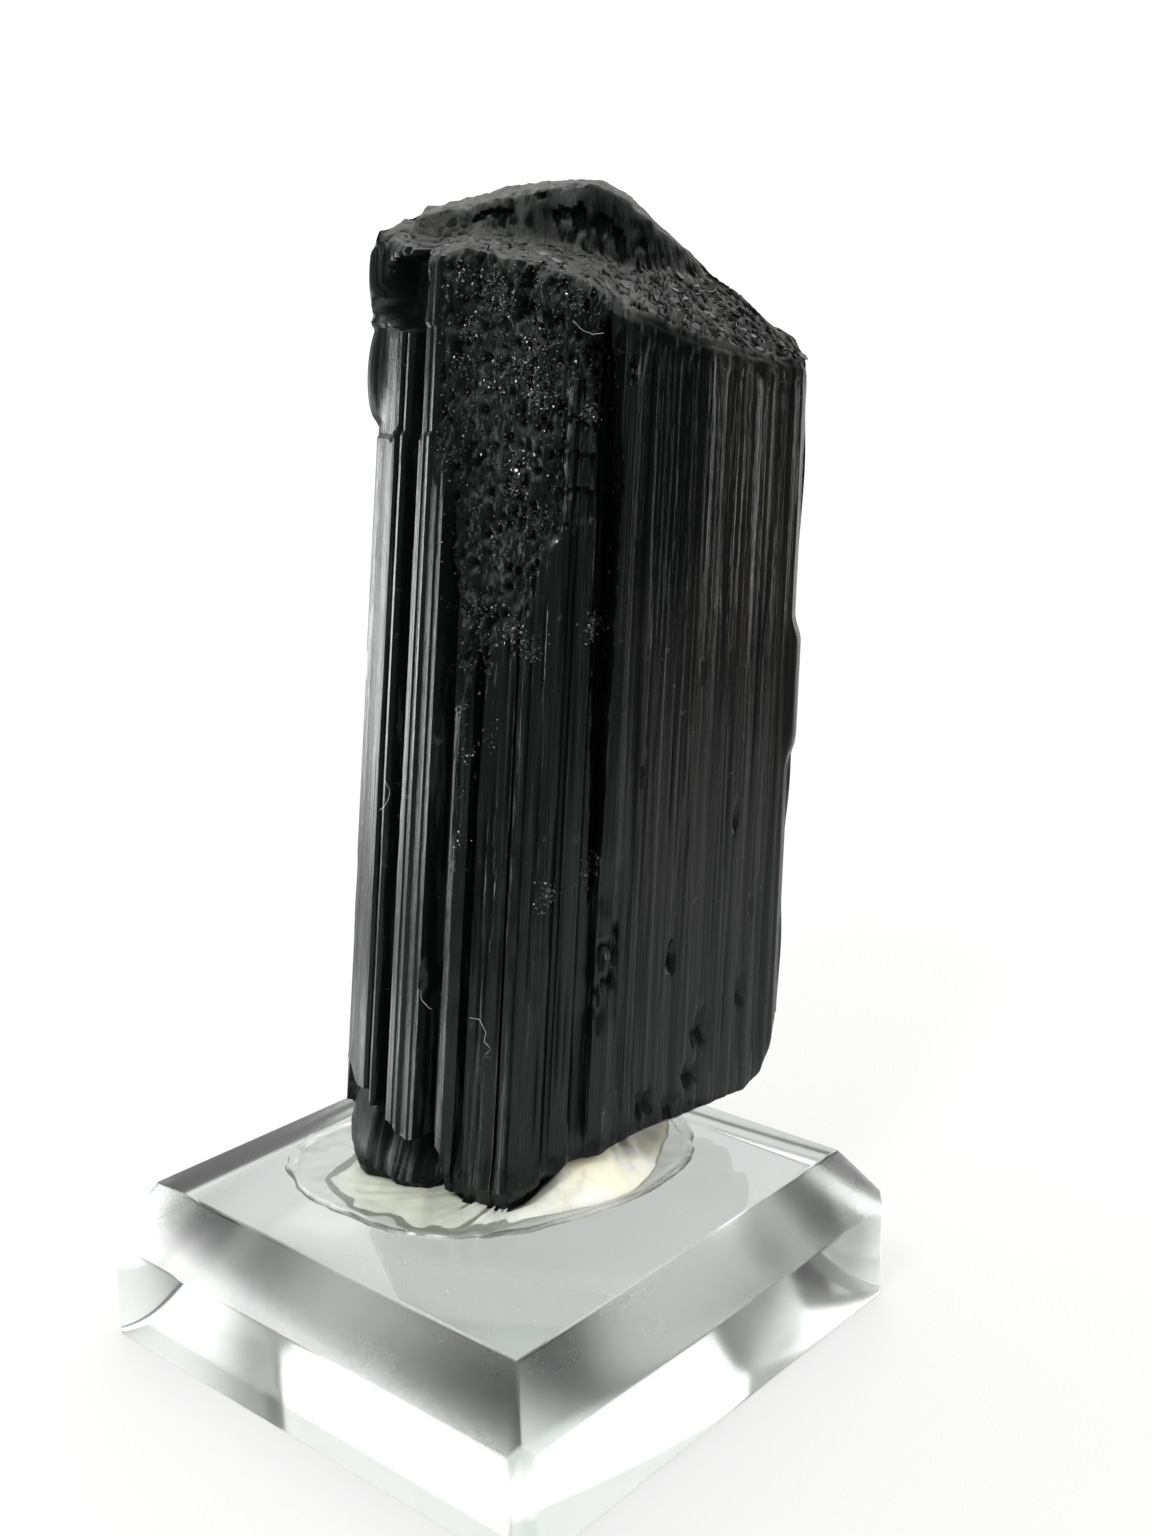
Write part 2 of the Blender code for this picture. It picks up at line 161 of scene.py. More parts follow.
class Wire:
    def __init__(self, net, socket):
        self.net = net
        self.socket = socket

    def math(self, operation, *others):
        node = self.net.add("ShaderNodeMath", {"operation": operation})
        for place, value in enumerate((self,) + others):
            self.net.put(node.inputs[place], value)
        return Wire(self.net, node.outputs[0])

    def __add__(self, other):
        return self.math("ADD", other)

    __radd__ = __add__

    def __sub__(self, other):
        return self.math("SUBTRACT", other)

    def __rsub__(self, other):
        return (self * -1.0) + other

    def __mul__(self, other):
        return self.math("MULTIPLY", other)

    __rmul__ = __mul__

    def __truediv__(self, other):
        return self.math("DIVIDE", other)

    def __rtruediv__(self, other):
        return self.math("POWER", -1.0) * other

    def step(self, low, high):
        # 0 at low, 1 at high, smooth between
        ends = {"From Min": low, "From Max": high}
        return self.net.out("ShaderNodeMapRange", {"interpolation_type": "SMOOTHSTEP"}, Value=self, **ends)


class Net:
    def __init__(self, tree):
        self.tree = tree

    def add(self, kind, settings=None, **values):
        node = self.tree.nodes.new(kind)
        for key, value in (settings or {}).items():
            setattr(node, key, value)
        for key, value in values.items():
            self.put(self.named(node.inputs, key), value)
        return node

    def named(self, sockets, key):
        if isinstance(key, int):
            return sockets[key]
        if key == "Other":  # the second vector of a Vector Math node
            return sockets[1]
        return [s for s in sockets if s.name == key and s.enabled][0]

    def put(self, socket, value):
        if isinstance(value, Wire):
            self.tree.links.new(value.socket, socket)
        elif value is not None:
            socket.default_value = value

    def out(self, kind, settings=None, output=0, **values):
        return Wire(self, self.named(self.add(kind, settings, **values).outputs, output))

    def mixColor(self, factor, a, b):
        node = self.add("ShaderNodeMix", {"data_type": "RGBA"})
        for place, value in ((0, factor), (6, a), (7, b)):
            self.put(node.inputs[place], value)
        return Wire(self, node.outputs[2])

    def mixShader(self, factor, a, b):
        node = self.add("ShaderNodeMixShader", None, Fac=factor)
        self.put(node.inputs[1], Wire(self, a.outputs[0]))
        self.put(node.inputs[2], Wire(self, b.outputs[0]))
        return node

    def vector(self, x=0.0, y=0.0, z=0.0):
        return self.out("ShaderNodeCombineXYZ", X=x, Y=y, Z=z)

    def parts(self, vector):
        node = self.add("ShaderNodeSeparateXYZ", Vector=vector)
        return [Wire(self, output) for output in node.outputs]

    def place(self):
        return self.out("ShaderNodeTexCoord", None, "Object")

    def attribute(self, name):
        return self.out("ShaderNodeAttribute", {"attribute_name": name}, "Fac")

    def field(self, name):
        # the same named value, read in a geometry tree
        return self.out("GeometryNodeInputNamedAttribute", {"data_type": "FLOAT"}, "Attribute", Name=name)

    def dot(self, vector, other):
        settings = {"operation": "DOT_PRODUCT"}
        return self.out("ShaderNodeVectorMath", settings, "Value", Vector=vector, Other=other)

    def noise(self, vector, scale, detail=3.0, roughness=0.55, distortion=0.0):
        return self.out("ShaderNodeTexNoise", Vector=vector, Scale=scale, Detail=detail, Roughness=roughness,
                        Distortion=distortion)


def shaderNet(name):
    material = bpy.data.materials.new(name)
    material.use_nodes = True
    net = Net(material.node_tree)
    shader = material.node_tree.nodes["Principled BSDF"]
    return material, net, shader


def setShader(net, shader, **values):
    for key, value in values.items():
        net.put(shader.inputs[key.replace("_", " ")], value)


# black tourmaline

tourmalineLook = {
    "black": (0.0026, 0.0034, 0.0032, 1.0),
    "brownBlack": (0.0150, 0.0120, 0.0090, 1.0),
    "streakGrey": (0.027, 0.032, 0.029, 1.0),
    "dustGrey": (0.072, 0.073, 0.067, 1.0),
    "sheen": (0.94, 1.0, 0.975, 1.0),
    "ior": 1.635,
    "specular": 0.20,
    "dullSpecular": 0.07,
    "prismRoughness": 0.17,
    "brokenRoughness": 0.42,
    "lineBump": 0.60,
    "lineDepth": 0.00013,   # metres
    "grainBump": 0.55,
    "grainDepth": 0.00007,
}


def tourmalineMaterial():
    look = tourmalineLook
    material, net, shader = shaderNet("blackTourmaline")
    across, height = net.parts(net.out("ShaderNodeUVMap", {"uv_map": "face"}))[:2]
    broken, dust, paintedShade = (net.attribute(name) for name in ("broken", "dust", "paintedShade"))
    place = net.place()
    # fine growth lines run the whole length and fade in and out along it
    lines = net.noise(net.vector(across * 2.6, height * 0.030), 1.0, 5.0, 0.72)
    fineLines = net.noise(net.vector(across * 9.0, height * 0.09, 3.0), 1.0, 3.0, 0.7)
    streaks = net.noise(net.vector(across * 0.9, height * 0.05, 7.0), 1.0, 4.0, 0.6)
    grains = net.noise(place, 2300.0, 4.0, 0.7)
    specks = net.noise(place, 1100.0, 3.0, 0.6)
    smears = net.noise(place, 160.0, 3.0, 0.6)
    # the right face turns brownish upwards
    onRight = across.step(19.0, 33.0) * (1.0 - across.step(41.0, 43.0))
    brown = onRight * streaks.step(0.35, 0.70) * height.step(20.0, 50.0)
    pale = fineLines.step(0.50, 0.66) * streaks.step(0.38, 0.62)
    specky = specks.step(0.64, 0.72) * smears.step(0.42, 0.68)
    dusty = dust * (0.35 + 0.65 * grains.step(0.30, 0.72))
    tone = net.mixColor(brown * 0.8, look["black"], look["brownBlack"])
    tone = net.mixColor(pale * 0.8, tone, look["streakGrey"])
    tone = net.mixColor(specky * 0.6, tone, look["dustGrey"])
    tone = net.mixColor(dusty, tone, look["dustGrey"])
    # painted shade: the colour turns black in pits, slits and recesses and high on the right face beside the
    # deep groove
    tone = net.mixColor(paintedShade.step(0.1, 0.8) * 0.9, tone, look["black"])
    gloss = look["prismRoughness"] + (streaks - 0.5) * 0.22 + (fineLines - 0.5) * 0.16 + specky * 0.2
    gloss = gloss + broken * (look["brokenRoughness"] - look["prismRoughness"]) * (0.45 + grains)
    heights = (lines * 0.7 + fineLines * 0.3) * (1.0 - broken * 0.9)
    bumped = net.out("ShaderNodeBump", Strength=look["lineBump"], Distance=look["lineDepth"], Height=heights)
    grainy = net.out("ShaderNodeBump", Strength=look["grainBump"], Distance=look["grainDepth"],
                     Height=grains * (0.08 + broken), Normal=bumped)
    # corroded and broken faces shine less; where the painted shade lies (pits, slits, the notch, the stub, the
    # ridge's wall and high on the right face) a flat black diffuse is mixed in as painted shade
    dull = net.add("ShaderNodeBsdfPrincipled")
    for face, specular in ((shader, look["specular"]), (dull, look["dullSpecular"])):
        setShader(net, face, Base_Color=tone, Roughness=gloss, IOR=look["ior"], Specular_IOR_Level=specular,
                  Specular_Tint=look["sheen"], Normal=grainy)
    paintedShadeBlack = net.add("ShaderNodeBsdfDiffuse", Color=look["black"])
    faces = net.mixShader(broken.step(0.1, 0.7), shader, dull)
    faces = net.mixShader(paintedShade.step(0.15, 0.9) * 0.9, faces, paintedShadeBlack)
    net.put(net.tree.nodes["Material Output"].inputs["Surface"], Wire(net, faces.outputs[0]))
    return material


# the loose grains are the same stone with bare, glinting faces; the flakes take the crystal's own material
def glintMaterial():
    look = tourmalineLook
    material, net, shader = shaderNet("tourmalineGrains")
    patches = net.noise(net.place(), 700.0, 3.0, 0.6)
    tone = net.mixColor(patches.step(0.45, 0.75), look["black"], look["streakGrey"])
    setShader(net, shader, Base_Color=tone, Roughness=0.10 + patches * 0.35, IOR=look["ior"])
    return material


# the crystal's plan and heights

crystalShape = {
    "turn": math.radians(40.8),
    "middle": (3.9, 4.0),
    "leanAcross": 0.0615,
    "leanBack": 0.135,
    "taper": 0.055 / 60.0,
    "footLevel": 10.8,
    "highest": 75.55,
    "spineDeep": 8.4,
    "spineEnds": (-8.9, 12.5),
    "frontStep": 0.11,
    "backStep": 0.42,
    "evenFrom": 21.0,       # heights between which the rings are level, a coarse and a fine span
    "fineFrom": 44.0,
    "evenTo": 59.0,
    "coarseStep": 0.75,
    "fineStep": 0.25,
    "topRings": 56,
    "seed": 7,
}

frontPlan = [
    (-11.2, 2.5), (-10.9, 0.0), (-9.8, -2.4), (-8.2, -3.9), (-6.5, -4.6), (-4.6, -4.9), (-2.2, -6.0),
    (0.0, -7.1), (2.0, -7.1), (4.0, -6.2), (5.4, -5.0), (6.6, -4.2), (18.6, 6.1), (19.0, 7.0),
]
backPlan = [(18.4, 9.0), (14.5, 12.6), (5.0, 14.2), (-4.0, 13.6), (-9.2, 10.0), (-11.0, 6.0)]

# rods and grooves of the front faces: place across, and how far it stands back
frontRelief = [
    (-11.2, 0.3), (-10.9, 0.0), (-10.6, 0.0), (-9.45, 0.0), (-9.35, 0.5), (-9.2, 0.5), (-9.12, 0.05),
    (-8.92, 0.0), (-8.84, 1.2), (-8.4, 1.5), (-8.02, 1.5), (-7.95, 0.22), (-7.5, 0.08), (-7.42, 0.16),
    (-6.95, -0.12), (-6.85, 0.12), (-6.25, -0.14), (-6.15, -0.04), (-5.65, -0.36), (-5.5, 1.3), (-4.5, 1.3),
    (-4.4, 0.02), (-4.0, -0.02), (-3.45, 0.30), (-3.35, 1.1), (-2.72, 1.3), (-2.62, 0.15), (-1.72, 0.52),
    (-1.66, 0.26), (-0.8, 0.60), (-0.72, 0.9), (-0.55, 0.95), (-0.48, 0.25), (0.35, 0.50), (0.45, 0.0),
    (2.4, 0.0), (2.55, 0.45), (2.8, 0.45), (2.95, 0.2), (4.1, 0.3), (4.35, 0.9), (5.25, 0.9), (5.5, 0.1),
    (6.4, 0.0), (6.6, 0.30), (7.7, 0.34), (7.85, 0.15), (8.3, 0.14), (8.42, 0.24), (8.55, 0.14), (9.2, 0.10),
    (10.65, 0.06), (10.76, 0.16), (11.0, 0.15), (11.15, 0.06), (12.3, 0.04), (12.9, 0.06), (13.0, 0.15),
    (13.2, 0.08), (13.9, 0.05), (14.0, 0.16), (14.25, 0.08), (15.3, 0.05), (16.0, 0.05), (16.1, 0.17),
    (16.3, 0.05), (17.1, 0.04), (17.25, 0.30), (17.8, 0.26), (17.95, 0.05), (18.6, 0.0), (19.0, 0.0),
]

frontRim = [
    (-11.2, 70.6), (-10.9, 71.1), (-10.4, 71.2), (-7.6, 70.1), (-4.9, 70.4), (-0.3, 69.2), (2.3, 68.5),
    (3.6, 67.8), (5.0, 66.9), (7.7, 66.0), (10.6, 64.9), (15.0, 63.9), (19.0, 63.2),
]
backRidge = [
    (-11.2, 73.0), (-10.4, 73.3), (-9.7, 73.2), (-9.0, 73.9), (-6.0, 74.5), (-2.3, 75.3), (1.0, 75.7),
    (3.4, 75.7), (5.4, 74.7), (7.6, 72.8), (11.0, 70.1), (14.0, 67.9), (17.5, 65.1), (19.0, 64.0),
]
# how deep the foot of the ridge's wall lies
ridgeFoot = [
    (-10.5, 0.4), (-8.0, 1.6), (-2.0, 1.6), (3.0, 2.0), (6.2, 3.4), (8.5, 5.6), (10.5, 8.2), (12.0, 9.0),
]
frontFoot = [
    (-11.2, 18.6), (-9.7, 17.5), (-8.5, 15.9), (-6.7, 15.1), (-4.1, 14.0), (-3.7, 11.7), (-2.9, 11.15),
    (-1.6, 10.95), (0.2, 10.95), (1.5, 11.5), (2.9, 12.6), (4.2, 13.6), (6.4, 13.4), (9.1, 13.9),
    (16.7, 13.9), (17.9, 14.6), (18.6, 16.2), (19.0, 18.6),
]


def placed(across, deep, height):
    # points in metres from the plan and the height
    shape = crystalShape
    rise = height - shape["footLevel"]
    scale = 1.0 - shape["taper"] * rise
    a = (across - shape["middle"][0]) * scale + shape["middle"][0] + shape["leanAcross"] * rise
    b = deep * scale + shape["leanBack"] * rise
    c, s = math.cos(shape["turn"]), math.sin(shape["turn"])
    return np.stack(np.broadcast_arrays(a * c - b * s, a * s + b * c, height), -1) * mm


def planColumns():
    # place across, place deep, inset, length run round the plan, and if the column is in front
    shape = crystalShape
    corners = np.array(frontPlan + backPlan + frontPlan[:1])
    run = np.concatenate([[0.0], np.cumsum(np.hypot(*np.diff(corners, axis=0).T))])
    frontRun = run[len(frontPlan) - 1]
    total = run[-1]
    front = np.arange(0.0, frontRun, shape["frontStep"])
    stops = np.interp([p for p, _ in frontRelief], corners[:len(frontPlan), 0], run[:len(frontPlan)])
    for stop in stops:
        front[np.abs(front - stop).argmin()] = stop
    # the same ribs of chosen widths as the solid has behind
    chance = random.Random(shape["seed"])
    ribs = [(frontRun, 0.0)]
    spot = 0.5
    while spot < total - frontRun - 3.4:
        width, groove, depth = chance.uniform(1.3, 3.4), chance.uniform(0.4, 0.9), chance.uniform(0.3, 1.1)
        flank = spot + width + 0.15
        edges = ((spot, 0.0), (spot + width, 0.0), (flank, depth), (flank + groove, depth))
        ribs += [(frontRun + place, back) for place, back in edges]
        spot = flank + groove + 0.15
    ribs.append((total, 0.0))
    back = np.arange(frontRun, total - 0.5 * shape["backStep"], shape["backStep"])
    for stop, _ in ribs[1:-1]:
        back[np.abs(back - stop).argmin()] = stop
    runs = np.unique(np.concatenate([front, back]))
    across = np.interp(runs, run, corners[:, 0])
    deep = np.interp(runs, run, corners[:, 1])
    inFront = runs < frontRun
    inset = np.where(inFront, between(frontRelief, across), between(ribs, runs))
    return across, deep, inset, runs, inFront


def wallPlace(across):
    return between(ridgeFoot, across) + 0.5 * lumps(across, 0.0, 5.0, 2.2)


def topHeight(across, deep):
    # a scaly slope in front, and a ridge behind it whose steep wall runs back and dies out to the right
    rim = between(frontRim, across)
    slope = between([(2.0, 0.25), (4.0, 0.33), (7.0, 0.44), (9.0, 0.52)], across)
    scaly = rim + slope * (deep - between(frontPlan, across))
    ridge = between(backRidge, across)
    ridge = ridge - 0.16 * np.maximum(9.0 - deep, 0.0) - 0.35 * np.maximum(deep - 9.0, 0.0)
    wallDeep = wallPlace(across)
    wall = ramp(deep, wallDeep - 0.7, wallDeep + 0.7)
    return np.where(deep > 9.0, ridge, scaly + wall * (ridge - scaly))


# pits of the ridge's wall: place across, height, half width, half height, depth
wallPits = [
    (-0.7, 74.1, 0.40, 0.28, 0.5), (0.9, 72.9, 0.80, 0.35, 0.6), (2.1, 72.2, 0.45, 1.25, 0.9),
    (3.6, 72.2, 0.70, 0.60, 0.7), (4.6, 71.2, 0.60, 0.90, 0.8), (-3.4, 73.0, 1.30, 0.25, 0.5),
    (-4.7, 72.5, 0.60, 0.30, 0.4), (6.4, 71.0, 0.60, 0.40, 0.5),
]


def endRelief(across, deep):
    # the dimpled slope and the smoother ridge behind it: the height to add, and the painted shade of its pits
    # and of the gaps between the scales
    wallDeep = wallPlace(across)
    onSlope = 1.0 - ramp(deep, wallDeep - 0.4, wallDeep + 0.6)
    right = ramp(across, 3.0, 9.0)
    small = dimples(across + 0.5 * deep, deep, (0.85, 0.50), 0.60, 2.0)
    tiny = dimples(across, deep, (0.34, 0.24), 0.50, 9.0)
    scales = shards(across + 0.4 * deep, deep, (1.30, 0.60), 0.75, 5.0)
    slope = 0.12 * lumps(across, 2.0 * deep, 3.0, 0.9) - (0.16 + 0.12 * right) * small - 0.09 * tiny
    slope += (0.06 + 0.20 * right) * scales
    ridge = rough(across, deep, (0.24, 3.0, 1.5), (0.14, 9.0, 0.6)) - 0.10 * tiny
    gaps = np.clip(0.30 - scales, 0.0, 0.3) / 0.3 * right
    # painted shade: the pits, the gaps between scales and the ridge's tiny pits are painted dark
    dark = onSlope * (0.85 * small + 0.6 * tiny + 0.35 * gaps) + (1.0 - onSlope) * 0.35 * tiny
    return onSlope * slope + (1.0 - onSlope) * ridge, np.clip(dark, 0.0, 1.0)


def footHeight(across, deep, inFront):
    back = 14.3 + 0.5 * lumps(across, deep, 2.0, 3.0) + 4.3 * ramp(across, 16.5, 19.0)
    return np.where(inFront, between(frontFoot, across), back)


def lowHeight(across, deep):
    stub = 1.0 - ramp(across, -4.5, -3.5)
    lobe = 1.0 - ramp(across, 2.0, 5.0)
    behind = ramp(deep, 3.0, 8.0)
    foot = 11.4 + (1.0 - lobe) * 1.9 + behind * 2.0 * (1.0 - stub)
    return np.minimum(foot, 11.4 + 20.0 * (1.0 - stub)) + 0.2 * lumps(across, deep, 4.0, 2.0)


def hollow(across, height, spot, size, power=2.0):
    # 1 in the middle of a rounded hollow, 0 outside it
    far = np.abs((across - spot[0]) / size[0]) ** power + np.abs((height - spot[1]) / size[1]) ** power
    return 1.0 - ramp(far, 0.6, 1.25)


def pitDepth(pits, x, z):
    return sum(depth * hollow(x, z, (spotX, spotZ), (wide, tall)) for spotX, spotZ, wide, tall, depth in pits)


# small pits of the faces: place across, height, half width, half height, depth
facePits = [
    (13.1, 19.4, 0.55, 0.75, 0.6), (10.7, 25.2, 0.40, 0.65, 0.5), (16.1, 21.1, 0.35, 0.85, 0.5),
    (12.5, 16.8, 0.75, 0.45, 0.5), (-5.35, 24.9, 0.30, 0.70, 0.8), (9.2, 15.6, 0.50, 0.60, 0.5),
    (11.2, 14.9, 0.60, 0.50, 0.5), (15.0, 33.5, 0.25, 0.60, 0.3), (8.2, 38.0, 0.20, 0.60, 0.3),
    (12.0, 44.0, 0.20, 0.50, 0.25), (16.6, 27.0, 0.25, 0.60, 0.3), (-1.25, 67.7, 0.50, 1.60, 0.9),
    (-4.6, 58.0, 0.35, 1.00, 0.5), (3.0, 64.0, 0.45, 0.70, 0.5), (6.0, 63.0, 0.30, 0.90, 0.5),
]


# the sides of the deep groove at each height, and the notch under the left end of the rim
grooveLeft = [(30.0, 4.85), (49.0, 4.35), (58.8, 3.9), (62.5, 3.4), (63.8, 2.8), (64.7, 2.9), (65.5, 3.6)]
grooveRight = [(30.0, 5.45), (49.0, 5.65), (56.5, 5.75), (61.0, 5.3), (63.8, 4.9), (65.5, 4.5), (67.0, 4.3)]
notchSpot = (-9.3, 68.0)


def deepGroove(across, height):
    left = between(grooveLeft, height) + 0.16 * lumps(0.0, height, 2.0, 1.1)
    right = between(grooveRight, height) + 0.16 * lumps(9.0, height, 2.0, 0.9)
    return 2.0 * zone(across, height, (left, right, 0.14), (30.0, 66.6, 1.5))


def leftEdge(across, height):
    # the notch, two thin flakes with a slit behind the upper one, and the rods' step at a crooked break
    notch = hollow(across + 0.15 * lumps(across, height, 6.0, 0.9), height, notchSpot, (1.50, 2.15), 3.0)
    back = notch * (2.2 + 0.10 * lumps(across * 2.0, height * 0.5, 3.0, 0.8))
    upper, lower = (np.sqrt(np.clip(1.0 - ((height - middle) / tall) ** 2, 0.0, 1.0))
                    for middle, tall in ((69.6, 3.7), (63.2, 3.3)))
    back -= (1.0 - ramp(across, -11.0, -10.4)) * (1.15 * upper + 0.95 * lower * (height < 66.4))
    back += 0.9 * zone(across, height, (-10.95, -10.6, 0.1), (66.8, 71.4, 1.0))
    broken = (height > 59.4 + 0.5 * lumps(across, 3.0, 1.0, 0.7)) * (height < 66.0)
    return back + 0.2 * window(across, -11.0, -6.4, 0.05) * broken


def cleavageSteps(across, height):
    tread = (height + 0.22 * across + 0.3 * lumps(across, height, 5.0, 1.5)) / 2.1
    back = 0.60 * (tread - np.floor(tread)) + 0.1 + 0.04 * lumps(across, height, 3.0, 0.3)
    return back * zone(across, height, (1.9, 3.9, 0.25), (53.8, 62.4, 0.4))


def breaks(across, height, inFront):
    # how far the surface stands back at the breaks, pits and grooves
    back = deepGroove(across, height) + leftEdge(across, height) + cleavageSteps(across, height)
    crookX = across + 0.35 * lumps(across, height, 2.0, 0.5)
    crookZ = height + 0.45 * lumps(across, height, 5.0, 0.6)
    back += pitDepth(facePits, crookX, crookZ) * (0.8 + 0.5 * lumps(across, height, 1.0, 0.35))
    back -= 0.5 * ramp(across, 18.3, 18.7) * window(height, 36.0, 46.5, 2.0)
    # the rough patch beside the groove, and the fibres of the middle
    patch = 0.15 + rough(across, height, (0.20, 2.0, 0.9), (0.10, 1.0, 0.3))
    back += patch * zone(across, height, (5.1, 7.3, 0.3), (21.5, 32.5, 1.5))
    back += 0.5 * patchSlits(across, height) + 0.06 * longSlits(across, height)
    back += 0.05 * window(across, -4.4, 2.4, 0.4) * lumps(across, height * 0.3, 5.0, 0.5)
    vuggy = 0.22 + rough(across, height, (0.35, 0.0, 2.2), (0.07, 8.0, 0.30))
    vuggy += 0.12 * lumps(across, height * 0.8, 4.0, 0.7) + 0.42 * vugPits(across, height)
    back += vuggyShare(across, height) * vuggy
    # worn away softly under the rim of the right face
    worn = 0.08 + rough(across, height, (0.14, 7.0, 0.9), (0.05, 7.0, 0.35))
    back += rimWear(across, height) * worn
    # the edges of the foot are rounded off, and the rim is blunt
    near = np.clip(1.0 - (height - between(frontFoot, across)) / 0.9, 0.0, 1.0)
    rounding = (0.12 + 0.45 * window(across, -3.8, 3.8, 1.0)) * ramp(across, -4.3, -3.2)
    back += rounding * (1.0 - np.sqrt(1.0 - near * near))
    rim = between(frontRim, across)
    back += 0.25 * ramp(height, rim - 0.5, rim)
    behind = 0.25 * lumps(across, height, 1.0, 6.0) + 0.46 * np.clip((height - 60.0) / 9.0, 0.0, 1.0)
    return np.where(inFront, back, behind)


def longSlits(across, height):
    # slender slits between the fibres, carved in and darkened with painted shade, more of them in the middle
    # than on the right face
    middle = dimples(across, height, (0.40, 14.0), 0.36, 12.0)
    right = dimples(across, height, (0.24, 20.0), 0.26, 15.0)
    return np.maximum(middle * zone(across, height, (-4.4, 4.4, 0.4), (13.0, 52.0, 4.0)),
                      0.8 * right * zone(across, height, (6.6, 18.4, 0.6), (15.0, 58.0, 4.0)))


def patchSlits(across, height):
    # slanting slits of the rough patch beside the deep groove
    wave = np.sin((height - 0.55 * across + 0.9 * lumps(across, height, 2.0, 1.4)) * 2.0 * math.pi / 1.7)
    return ramp(wave, 0.45, 0.95) * zone(across, height, (5.2, 7.2, 0.4), (21.8, 29.5, 1.5))


def vugPits(across, height):
    large = dimples(across, height, (0.62, 0.85), 0.40, 4.0)
    return np.maximum(large, 0.55 * dimples(across, height, (0.32, 0.40), 0.45, 6.0))


def rimWear(across, height):
    depth = 2.2 + 1.4 * lumps(across, 0.0, 4.0, 2.0) + 3.0 * window(across, 5.6, 7.2, 0.5)
    rim = between(frontRim, across)
    return ramp(across, 4.6, 5.6) * ramp(height, rim - depth, rim - 0.35 * depth)


vuggyBottom = [(-7.3, 58.0), (-6.0, 57.0), (-4.2, 43.5), (-0.4, 46.5), (1.6, 53.5), (3.4, 55.0), (4.2, 60.0)]


def vuggyShare(across, height):
    # the corroded zone under the rim, wide at the top and running out downwards between the rods
    low = between(vuggyBottom, across) + 3.0 * lumps(across, 0.0, 3.0, 0.8)
    steps = zone(across, height, (1.7, 5.0, 0.25), (53.4, 62.6, 0.5))
    return window(across, -6.95, 4.2, 0.2) * ramp(height, low, low + 2.0) * (1.0 - steps)


# the stub's lower edge
stubBottom = [
    (-11.2, 11.9), (-10.6, 11.2), (-9.8, 10.95), (-8.0, 10.92), (-6.7, 10.9), (-5.7, 11.0), (-5.2, 11.5),
    (-4.2, 12.2),
]
# rings of the underside: share of the way out, the same at the stub, and how far the stub hangs below the foot
underRings = [
    (0.25, 0.25, 1.0), (0.45, 0.45, 1.0), (0.62, 0.62, 1.0), (0.80, 0.80, 1.0), (0.86, 0.87, 1.0),
    (0.90, 0.90, 0.95), (0.92, 0.922, 0.84), (0.935, 0.918, 0.60), (0.95, 0.896, 0.36), (0.96, 0.875, 0.05),
    (0.97, 0.925, -0.06), (0.98, 0.975, -0.03),
]
# the glinting clusters: place across, height, radius
glintSpots = [
    (-5.2, 68.9, 0.5), (-3.5, 68.3, 0.9), (-2.5, 67.4, 0.6), (-0.5, 64.4, 0.9), (-3.0, 62.8, 0.8),
    (-5.2, 63.6, 0.5), (0.1, 62.1, 0.9), (-5.5, 58.0, 0.5), (-1.4, 58.0, 0.5), (-1.2, 56.4, 0.6),
    (0.4, 54.3, 0.6), (3.2, 60.5, 0.5), (-3.6, 48.9, 0.5), (-0.8, 47.4, 0.7), (0.2, 46.5, 0.6),
    (4.2, 47.4, 0.5), (-3.5, 39.6, 0.3), (1.9, 31.2, 0.5), (-3.9, 45.2, 0.3), (-3.8, 42.9, 0.3),
    (-3.9, 41.0, 0.25), (-3.8, 37.2, 0.3), (-3.8, 34.6, 0.25), (-2.0, 41.0, 0.3), (4.8, 32.2, 0.4),
    (2.0, 67.3, 0.6), (-4.7, 65.7, 0.5),
]


def topShares(across, deep):
    # shares of the way from the rim to the spine, with a third of the rings on the steep wall
    wallDeep = wallPlace(across)
    toSpine = crystalShape["spineDeep"] - deep
    toSpine = np.where(np.abs(toSpine) < 0.5, 0.5, toSpine)
    low, high = (wallDeep - 0.9 - deep) / toSpine, (wallDeep + 0.9 - deep) / toSpine
    kept = ramp(wallDeep - deep, 2.0, 4.0) * (1.0 - ramp(high, 0.80, 0.92))
    for even in np.linspace(0.0, 1.0, crystalShape["topRings"] + 2)[1:-1]:
        if even < 0.36:
            moved = low * even / 0.36
        elif even < 0.72:
            moved = low + (high - low) * (even - 0.36) / 0.36
        else:
            moved = high + (1.0 - high) * (even - 0.72) / 0.28
        yield even + (moved - even) * kept


def crystalRings():
    # rings of points from the middle of the underside, up the prism, over the broken end to its spine
    columns = planColumns()
    across, deep, _, runs, inFront = columns
    away = np.stack([crystalShape["middle"][0] - across, crystalShape["middle"][1] - deep], -1)
    away = (away / np.linalg.norm(away, axis=1)[:, None]).T
    ragged = 0.5 * lumps(across * 1.3, 0.0, 7.0, 0.8) * (1.0 - ramp(across, -4.3, -3.8)) * inFront
    foot = footHeight(across, deep, inFront) + ragged
    rimRagged = rough(across, 0.0, (0.22, 8.0, 0.9), (0.12, 3.0, 0.35)) * inFront
    rim = topHeight(across, deep) + rimRagged
    # each row: the ring's points, how broken it is and its painted shade, which darkens pits, slits and
    # recesses
    rows = list(underside(columns, away, foot))
    rows += prismSides(columns, away, foot, rim)
    rows += brokenEnd(rows[-1][0], rimRagged)
    return rows, runs, inFront


